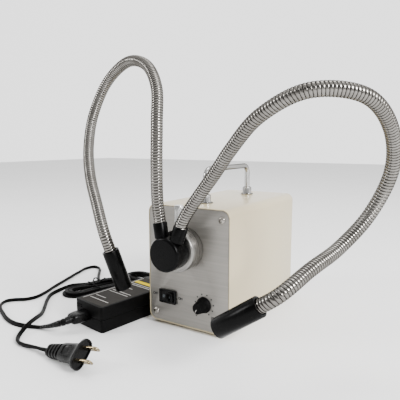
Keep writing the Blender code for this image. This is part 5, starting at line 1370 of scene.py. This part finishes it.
# The adapter. Places on its label are from its right front corner.
ADAPTER_CORNER = 0.0035
ADAPTER_EDGE = 0.0007
INLET = (0.016, 0.026, 0.0095)
INLET_CORNER = 0.0028
GROOVE = (0.011, 0.0020, 0.0008)
GROOVE_X = -0.0405
GROOVE_HEIGHTS = (0.0215, 0.0238)
FILM = (0.0435, 0.1000, 0.0012)
FILM_Y = 0.0535
FILM_SUNK = 0.00002
FILM_PROUD = 0.00008
INK = 0.00005
BAR_CORNER = 0.0002
# Bars of print: their width, height, place across the label, and places along it.
LABEL_BARS = (
    (0.0009, 0.0920, -0.0448, (0.0535,)), (0.0330, 0.0010, -0.0245, (0.0150, 0.0420, 0.0470)),
    (0.0180, 0.0010, -0.0320, (0.0230, 0.0620)), (0.0380, 0.0012, -0.0250, (0.0745, 0.0785)),
)
BAND = (0.0380, 0.0065, 0.0003)
BAND_PLACE = (-0.0250, 0.0860)
# The connector's sections: height, width and depth.
CONNECTOR = (
    (-0.0100, 0.0142, 0.0078), (0.0002, 0.0142, 0.0078), (0.0003, 0.0166, 0.0106), (0.0012, 0.0170, 0.0110),
    (0.0120, 0.0168, 0.0108), (0.0175, 0.0150, 0.0100), (0.0190, 0.0120, 0.0086),
)
CONNECTOR_CORNER = 0.0030
CONNECTOR_EDGE = 0.0003
RELIEF_LEAD = 0.004
RELIEF_STEP = 0.00035
RELIEF_RADII = (0.0048, 0.0027)
RELIEF_RIBS = 9
RELIEF_GROOVE = 0.0006
RELIEF_TIP_SHARE = 0.97
RELIEF_FLAT_SHARE = 0.3


def relief_section(share):
    """The connector's strain relief at a share of its length: ribbed, and flatter at its end."""
    thick, thin = RELIEF_RADII
    grooved = share * RELIEF_RIBS % 1 > RIB_SHARE and share < RELIEF_TIP_SHARE
    radius = thick + (thin - thick) * share - (RELIEF_GROOVE if grooved else 0)
    return [(radius * x, radius * (1 - RELIEF_FLAT_SHARE * share) * y) for x, y in ring_of(1, 28)]


class LIGHT_OT_adapter(Operator):
    """Model the mains adapter with its label, and the connector in its inlet"""
    bl_idname = "light.adapter"
    bl_label = "Adapter"

    def execute(self, context):
        s = context.scene.light_leads
        middle = s.adapter_height / 2
        for name, low, high in (("base", 0, middle - GAP / 2), ("lid", middle + GAP / 2, s.adapter_height)):
            size = (s.adapter_width, s.adapter_length, high - low)
            centre = (-s.adapter_width / 2, s.adapter_length / 2, (low + high) / 2)
            part = block(f"adapter_{name}_piece", size, ADAPTER, centre, 2, ADAPTER_CORNER, 8, ADAPTER_EDGE)
            cut(part, block("inlet", INLET, ADAPTER, INLET_PLACE, 1, INLET_CORNER, 5))
            if name == "lid":
                for height in GROOVE_HEIGHTS:
                    cut(part, block("line", GROOVE, ADAPTER, (GROOVE_X, 0, height)))
            settle(part)
            hand_over(part, finish("grained_plastic"), "black_plastic", f"adapter_{name}")
        far = ADAPTER @ Matrix.Translation((-s.adapter_width / 2, s.adapter_length, middle))
        seat = far @ Matrix.Rotation(-QUARTER, 4, "X")
        relief = turned("outlet_relief", ribbed(*OUTLET_RELIEF), 40, seat)
        hand_over(relief, finish("smooth_plastic"), "black_plastic")
        self.label(s)
        self.connector()
        return {"FINISHED"}

    def label(self, s):
        top = s.adapter_height
        proud = top + FILM_PROUD
        outline = rounded(*FILM, 4, (-s.adapter_width / 2, FILM_Y))
        film = plate("adapter_label", [outline], top - FILM_SUNK, proud, ADAPTER)
        hand_over(film, finish("label_film"), "black_plastic")
        bars = []
        for width, height, x, places in LABEL_BARS:
            bars += [rounded(width, height, BAR_CORNER, 2, (x, y)) for y in places]
        strips = plate("adapter_strips", bars, proud, proud + INK, ADAPTER)
        hand_over(strips, finish("white_print"), "black_plastic")
        band = plate("adapter_band", [rounded(*BAND, 2, BAND_PLACE)], proud, proud + INK, ADAPTER)
        hand_over(band, finish("yellow_print"), "black_plastic")

    def connector(self):
        seat = ADAPTER @ Matrix.Translation(INLET_PLACE) @ FORWARD
        grip = lofted("mains_connector_piece", CONNECTOR, CONNECTOR_CORNER, seat, CONNECTOR_EDGE)
        line = smooth_path(RELIEF_ROUTE, 12)
        heading = (line[1] - line[0]).normalized()
        points, _ = even([line[0] - heading * RELIEF_LEAD, *line], RELIEF_STEP)
        relief = swept("mains_relief_piece", points, relief_section)
        hand_over(grip, finish("smooth_plastic"), "black_plastic", "mains_connector")
        hand_over(relief, finish("smooth_plastic"), "black_plastic")


def lofted(name, sections, corner, seat, edge=0.0, rim=0.0):
    """Extrude and scale a rounded rectangle from one (height, width, depth) to the next."""
    deselect()
    height, wide, deep = sections[0]
    bpy.ops.mesh.primitive_plane_add(size=1)
    piece = started(name)
    bpy.ops.transform.resize(value=(wide, deep, 1))
    bpy.ops.mesh.bevel(offset=corner, segments=8, affect="VERTICES")
    bpy.ops.mesh.select_all(action="SELECT")
    bpy.ops.transform.translate(value=(0, 0, height))
    bpy.ops.mesh.select_mode(type="FACE")
    bpy.ops.mesh.select_all(action="SELECT")
    for z, width, depth in sections[1:]:
        bpy.ops.mesh.extrude_region_move(TRANSFORM_OT_translate={"value": (0, 0, z - height)})
        bpy.ops.transform.resize(value=(width / wide, depth / deep, 1), center_override=(0, 0, 0))
        height, wide, deep = z, width, depth
    if rim:
        bpy.ops.mesh.inset(thickness=rim)
        bpy.ops.mesh.extrude_region_move(TRANSFORM_OT_translate={"value": (0, 0, -rim)})
    tidy()
    if edge:
        fillet(piece, edge)
    return settle(piece, seat)


# The plug. Sections are a height, a width and a depth; the grip's ribs repeat at a pitch and widen.
PLUG_START = (-0.0455, 0.0108, 0.0092)
GRIP_RIBS = 4
GRIP_START = -0.0452
GRIP_PITCH = 0.0046
GRIP_SIZE = (0.0122, 0.0106)
GRIP_GROWTH = (0.0030, 0.0014)
GRIP_RIB = ((0, 0, 0), (0.0026, 0.0005, 0.0003), (0.0028, -0.0026, -0.0026), (0.0042, -0.0023, -0.0024))
PLUG_SECTIONS = (
    (-0.0267, 0.0164, 0.0112), (-0.0255, 0.0172, 0.0117), (-0.0120, 0.0184, 0.0124),
    (-0.0078, 0.0186, 0.0126), (-0.0060, 0.0205, 0.0132), (-0.0042, 0.0250, 0.0142),
    (-0.0032, 0.0285, 0.0149),
)
FLANGE_LOW, FLANGE_HIGH = -0.0028, -0.0004
FLANGE_BEVEL = 0.0008
PLUG_CORNER = 0.0036
PLUG_RIM = 0.0012
PANEL = (0.0120, 0.0096, 0.0030)
PANEL_X = -0.0165
PANEL_HEIGHT = 0.0051
PANEL_REACH = 0.003
PANEL_EDGE = 0.0003
BLADE_ROOT = -0.004
# One side of a blade's outline, from its root to its tip.
BLADE_SIDE = ((BLADE_ROOT, 0.00317), (0.0150, 0.00317), (0.0158, 0.0028), (0.0165, 0.0016))
BLADE_OFFSET = 0.00635
BLADE_HALF = 0.00075
BLADE_EDGE = 0.00025
BLADE_HOLE = 0.0016
BLADE_HOLE_PLACE = (0.0127, 0)


class LIGHT_OT_mains_plug(Operator):
    """Model the moulded mains plug and its two flat blades"""
    bl_idname = "light.mains_plug"
    bl_label = "Mains plug"

    def execute(self, context):
        s = context.scene.light_leads
        width, height = s.flange_width, s.flange_height
        sections = [PLUG_START]
        for index in range(GRIP_RIBS):
            share = index / GRIP_RIBS
            wide, deep = (size + growth * share for size, growth in zip(GRIP_SIZE, GRIP_GROWTH))
            z = GRIP_START + GRIP_PITCH * index
            sections += [(z + up, wide + out, deep + thick) for up, out, thick in GRIP_RIB]
        sections += [
            *PLUG_SECTIONS, (FLANGE_LOW, width, height), (FLANGE_HIGH, width, height),
            (0, width - FLANGE_BEVEL, height - FLANGE_BEVEL),
        ]
        outward = PLUG @ Matrix.Rotation(QUARTER, 4, "Y") @ Matrix.Rotation(QUARTER, 4, "Z")
        body = lofted("plug_piece", sections, PLUG_CORNER, outward, rim=PLUG_RIM)
        for side in (-1, 1):
            seat = PLUG @ Matrix.Translation((PANEL_X, 0, side * PANEL_HEIGHT))
            low, high = sorted((0, side * PANEL_REACH))
            cut(body, plate("panel", [rounded(*PANEL, 8)], low, high, seat, PANEL_EDGE))
        settle(body)
        hand_over(body, finish("smooth_plastic"), "black_plastic", "plug_body")
        outline = [*((x, -y) for x, y in BLADE_SIDE), *reversed(BLADE_SIDE)]
        outlines = [outline, ring_of(BLADE_HOLE, 32, BLADE_HOLE_PLACE)]
        for index, side in enumerate((-1, 1), 1):
            seat = PLUG @ Matrix.Translation((0, side * BLADE_OFFSET, 0)) @ FORWARD
            blade = plate(f"blade_piece_{index}", outlines, -BLADE_HALF, BLADE_HALF, seat, BLADE_EDGE)
            hand_over(blade, finish("plated_brass"), "blade_brass", f"plug_blade_{index}")
        return {"FINISHED"}


LOOP_POINTS = 24
HANK_RUN_SHARE = 0.4
HANK_PINCH = 0.0015
HANK_CLIMB_TURNS = 0.16
# The hanks, as in the solids: turns, whether mirrored, half the length and the width, the spacing of the
# turns, how far the upper layer lies over the lower one, the height of the lower one, and the seat.
MAINS_HALF = 0.0185
MAINS_WINDING = (4, False, 0.044, MAINS_HALF, 0.0050, 0.0034, 0.0016, MAINS_HANK)
DC_HALF = 0.0175
DC_WINDING = (3.5, True, 0.0585, DC_HALF, 0.0042, 0.0042, 0.0019, DC_HANK)
MAINS_TIE_TOP = 0.0066
DC_TIE_TOP = 0.0080
CORD_STEP = 0.002
KNOT_GAP = 0.0012
RISE_SHARE = 0.35
# A tie's band, and its tail: a loop, a rise, and two strands twisted about each other.
TIE_CORNER = 0.0022
TAIL_HEADING = (0.85, 0.53, 0)
TAIL_LOOP = 0.0042
TAIL_LOOP_TURNS = 1.1
TAIL_LOOP_STEPS = 48
TAIL_LOOP_DRIFT = 0.004
TAIL_LIFT = 0.0014
TAIL_STEPS = 30
TAIL_RUN = 0.0085
TAIL_RISE = 0.0075
TAIL_BOW = 0.0010
TWIST = 0.45
TWIST_OFFSET = 0.0005
STRAND_SHARE = 0.9


def quarter_loop(share, run, bend):
    """A quarter of a loop, from the middle of its run to the tip of its fold."""
    if share < HANK_RUN_SHARE:
        reach = run * share / HANK_RUN_SHARE
        waist = 1 - (reach / run) ** 2
        return reach, bend - HANK_PINCH * waist * waist
    turn = (share - HANK_RUN_SHARE) / (1 - HANK_RUN_SHARE) * QUARTER
    return run + bend * math.sin(turn), bend * math.cos(turn)


def hank_points(total, mirrored, half_length, half_width, spacing, lift, low, seat):
    """A hank's cord: it spirals in and out again, a layer up on the way out."""
    points = []
    for index in range(round(total * LOOP_POINTS) + 1):
        turns = index / LOOP_POINTS
        bend = half_width - spacing * min(turns, total - turns)
        quarter, share = divmod(turns % 1 * 4, 1)
        back = quarter in (1, 3)
        reach, across = quarter_loop(1 - share if back else share, half_length - half_width, bend)
        reach *= -1 if quarter < 2 else 1
        across *= 1 if quarter in (1, 2) else -1
        height = low + lift * eased((turns - total / 2) / HANK_CLIMB_TURNS + 0.5)
        points.append(seat @ Vector((across * (-1 if mirrored else 1), reach, height)))
    return points


def twin_section(lobe, spread):
    """The outline of two cores side by side under one cover."""
    reach = math.pi - math.acos(spread / lobe)
    right = arc(lobe, (spread, 0), -reach, reach, 10)
    return [*right, *((-x, -y) for x, y in right[1:-1])]


def cord_line(route_a, hank, route_b):
    """The whole cord in even points, and its length."""
    knots = [Vector(point) for point in (*route_a, *hank, *route_b)]
    kept = [knots[0]]
    for knot in knots[1:]:
        if (knot - kept[-1]).length > KNOT_GAP:
            kept.append(knot)
    return even(smooth_path(kept, 8), CORD_STEP)


def stand_up(points, total, hank, s):
    """Roll a flat cord half onto its edge where it runs free, and lift it to suit."""
    step = total / (len(points) - 1)
    first, last = (
        min(range(len(points)), key=lambda index: (points[index] - knot).length) * step
        for knot in (hank[0], hank[-1])
    )
    frames, raised = [], []
    for index, (point, (side, up)) in enumerate(zip(points, level_frames(points))):
        at = index * step
        share = eased(min(at, total - at, max(first - at, at - last)) / s.roll_run)
        turn = s.roll * share
        cos, sin = math.cos(turn), math.sin(turn)
        frames.append((side * cos + up * sin, up * cos - side * sin))
        lift = s.mains_spread * math.sin(turn) + (point.z - s.mains_lobe) * RISE_SHARE * share
        raised.append(point + Vector((0, 0, lift)))
    return raised, frames


def tail_points(ahead, height):
    """The middle of a tie's tail: once round a loop, and on in a low bow."""
    points = []
    for step in range(TAIL_LOOP_STEPS + 1):
        share = step / TAIL_LOOP_STEPS
        turn = TURN * TAIL_LOOP_TURNS * share
        run = TAIL_LOOP * math.sin(turn) + TAIL_LOOP_DRIFT * share
        points.append(ahead * run + Vector((0, 0, height + TAIL_LOOP * (1 - math.cos(turn)))))
    start = points[-1]
    for step in range(1, TAIL_STEPS + 1):
        share = step / TAIL_STEPS
        rise = TAIL_RISE * share + TAIL_BOW * math.sin(share * math.pi)
        points.append(start + ahead * TAIL_RUN * share + Vector((0, 0, rise)))
    return points


class LIGHT_OT_cords(Operator):
    """Draw the mains cord and the low-voltage cord, each with its hank and its tie"""
    bl_idname = "light.cords"
    bl_label = "Cords"

    def execute(self, context):
        s = context.scene.light_leads
        reach = s.mains_lobe + s.mains_spread
        hank = hank_points(*MAINS_WINDING)
        points, total = cord_line(MAINS_ROUTE_A, hank, MAINS_ROUTE_B)
        points, frames = stand_up(points, total, hank, s)
        total = sum((far - near).length for near, far in zip(points, points[1:]))
        mains = swept("mains_cord", points, twin_section(s.mains_lobe, s.mains_spread), frames)
        hand_over(mains, finish("cord_cover"), "cord_black", "mains_cord_a", "mains_cord_b", "mains_hank")
        tie = self.tie("mains_tie", MAINS_HANK, MAINS_HALF + reach, MAINS_TIE_TOP, s)
        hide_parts("twist_tie")
        points, total = cord_line(DC_ROUTE_A, hank_points(*DC_WINDING), DC_ROUTE_B)
        low = swept("dc_cord", points, ring_of(s.dc_radius, 16))
        hand_over(low, finish("cord_cover"), "cord_black", "dc_cord_a", "dc_cord_b", "dc_hank")
        tie = self.tie("dc_tie", DC_HANK, DC_HALF + s.dc_radius, DC_TIE_TOP, s)
        return {"FINISHED"}

    def tie(self, name, seat, half, top, s):
        """A tie round a hank's waist, its legs down on both sides, and its twisted tail on top."""
        reach = half - HANK_PINCH + s.tie + GAP
        high = top + s.tie
        bend = arc(TIE_CORNER, (TIE_CORNER - reach, high - TIE_CORNER), TURN / 2, QUARTER, 5)
        points = [Vector((-reach, 0, s.tie)), *(Vector((x, 0, z)) for x, z in bend)]
        points += [Vector((-point.x, 0, point.z)) for point in reversed(points)]
        band = rod(name, points, s.tie, seat, 3)
        ahead = seat.to_3x3().transposed() @ Vector(TAIL_HEADING)
        middle = tail_points(ahead, high + TAIL_LIFT)
        frames = carried_frames(middle)
        strands = []
        for way in (1, -1):
            for index in range(len(middle))[::way]:
                side, up = frames[index]
                turn = index * TWIST
                outward = side * math.cos(turn) + up * math.sin(turn)
                strands.append(middle[index] + outward * TWIST_OFFSET * way)
        tail = rod(f"{name}_tail", strands, s.tie * STRAND_SHARE, seat, 2)
        for part in (band, tail):
            hand_over(part, finish("grained_plastic"), "tie_black")
        return band


# The light tent's bands: light from in front and from behind, and the heights over which a band fades in.
TENT_BANDS = ((0.9, 2.3, 0, 0), (0.12, 2.3, 0.15, 0.45), (1.5, 1.5, 0.5, 0.85))
TENT_DEPTH = (-0.75, 0.7)
LAMP_TARGET = (-0.03, 0.0, 0.12)
# Lamps: their place, power and size.
LAMPS = {
    "key": ((1.5, -0.35, 1.0), 55, 0.6), "fill": ((-1.3, -1.0, 0.9), 16, 0.5),
    "top": ((0.0, 0.4, 2.0), 18, 1.0),
}
FLOOR_SIZE = 8
SENSOR = 36
NEAREST = 0.01


def tent(tree):
    """A light tent: a bright wall behind, a paler one in front with a dark flag over it, and a ceiling."""
    place = node(tree, "ShaderNodeTexCoord").outputs["Generated"]
    parts = node(tree, "ShaderNodeSeparateXYZ", Vector=place).outputs
    light = None
    for ahead, behind, low, high in TENT_BANDS:
        wall = node(
            tree, "ShaderNodeMapRange", (("interpolation_type", "SMOOTHSTEP"),), Value=parts[1],
            From_Min=TENT_DEPTH[0], From_Max=TENT_DEPTH[1], To_Min=ahead, To_Max=behind,
        ).outputs[0]
        if light:
            share = ramp_between(tree, parts[2], 0.0, 1.0, low, high)
            mixed = node(tree, "ShaderNodeMix", (("data_type", "FLOAT"),), _0=share, _2=light, _3=wall)
            wall = mixed.outputs[0]
        light = wall
    sky = tree.nodes["Background"]
    sky.inputs["Color"].default_value = (1, 1, 1, 1)
    tree.links.new(light, sky.inputs["Strength"])


class LIGHT_OT_stage(Operator):
    """Lay the pale floor, hang the lights and set up the camera"""
    bl_idname = "light.stage"
    bl_label = "Stage"

    def execute(self, context):
        s = context.scene.light_stage
        deselect()
        bpy.ops.mesh.primitive_plane_add(size=FLOOR_SIZE)
        floor = context.view_layer.objects.active
        floor.name = "floor"
        floor.data.materials.append(finish("floor_paper"))
        world = context.scene.world or bpy.data.worlds.new("studio")
        context.scene.world = world
        world.use_nodes = True
        tent(world.node_tree)
        for name, (place, power, size) in LAMPS.items():
            lamp = bpy.data.lights.new(name, "AREA")
            lamp.energy = power
            lamp.size = size
            light = linked(name, lamp)
            light.location = place
            light.rotation_euler = (Vector(place) - Vector(LAMP_TARGET)).to_track_quat("Z", "Y").to_euler()
        lens = bpy.data.cameras.new("camera")
        lens.lens = s.focal
        lens.sensor_width = SENSOR
        lens.clip_start = NEAREST
        camera = linked("camera", lens)
        camera.location = s.eye
        camera.rotation_euler = (QUARTER - s.dip, 0, s.heading)
        context.scene.camera = camera
        return {"FINISHED"}


class LIGHT_PT_panel(Panel):
    """The pieces of the illuminator, in the order in which they are made"""
    bl_idname = "LIGHT_PT_panel"
    bl_label = "Illuminator"
    bl_space_type = "VIEW_3D"
    bl_region_type = "UI"
    bl_category = "Illuminator"

    def draw(self, context):
        for group in GROUPS:
            box = self.layout.box()
            settings = getattr(context.scene, group)
            for name in settings.__annotations__:
                box.prop(settings, name)
        for operator in OPERATORS:
            self.layout.operator(operator.bl_idname)


GROUPS = {
    "light_housing": HousingSettings, "light_guide": GuideSettings, "light_controls": ControlSettings,
    "light_leads": LeadSettings, "light_finish": FinishSettings, "light_stage": StageSettings,
}
OPERATORS = (
    LIGHT_OT_stage, LIGHT_OT_dc_plug, LIGHT_OT_mains_plug, LIGHT_OT_cords, LIGHT_OT_shell, LIGHT_OT_plates,
    LIGHT_OT_screws, LIGHT_OT_feet, LIGHT_OT_handle, LIGHT_OT_port, LIGHT_OT_hub, LIGHT_OT_goosenecks,
    LIGHT_OT_nozzles, LIGHT_OT_dimmer, LIGHT_OT_switch, LIGHT_OT_insides, LIGHT_OT_adapter,
)


def register():
    for name, group in GROUPS.items():
        bpy.utils.register_class(group)
        setattr(bpy.types.Scene, name, PointerProperty(type=group))
    for item in (*OPERATORS, LIGHT_PT_panel):
        bpy.utils.register_class(item)


def unregister():
    for item in (LIGHT_PT_panel, *reversed(OPERATORS)):
        bpy.utils.unregister_class(item)
    for name, group in GROUPS.items():
        delattr(bpy.types.Scene, name)
        bpy.utils.unregister_class(group)


def main():
    register()
    for operator in OPERATORS:
        group, name = operator.bl_idname.split(".")
        getattr(getattr(bpy.ops, group), name)()
    deselect()


if __name__ == "__main__":
    main()
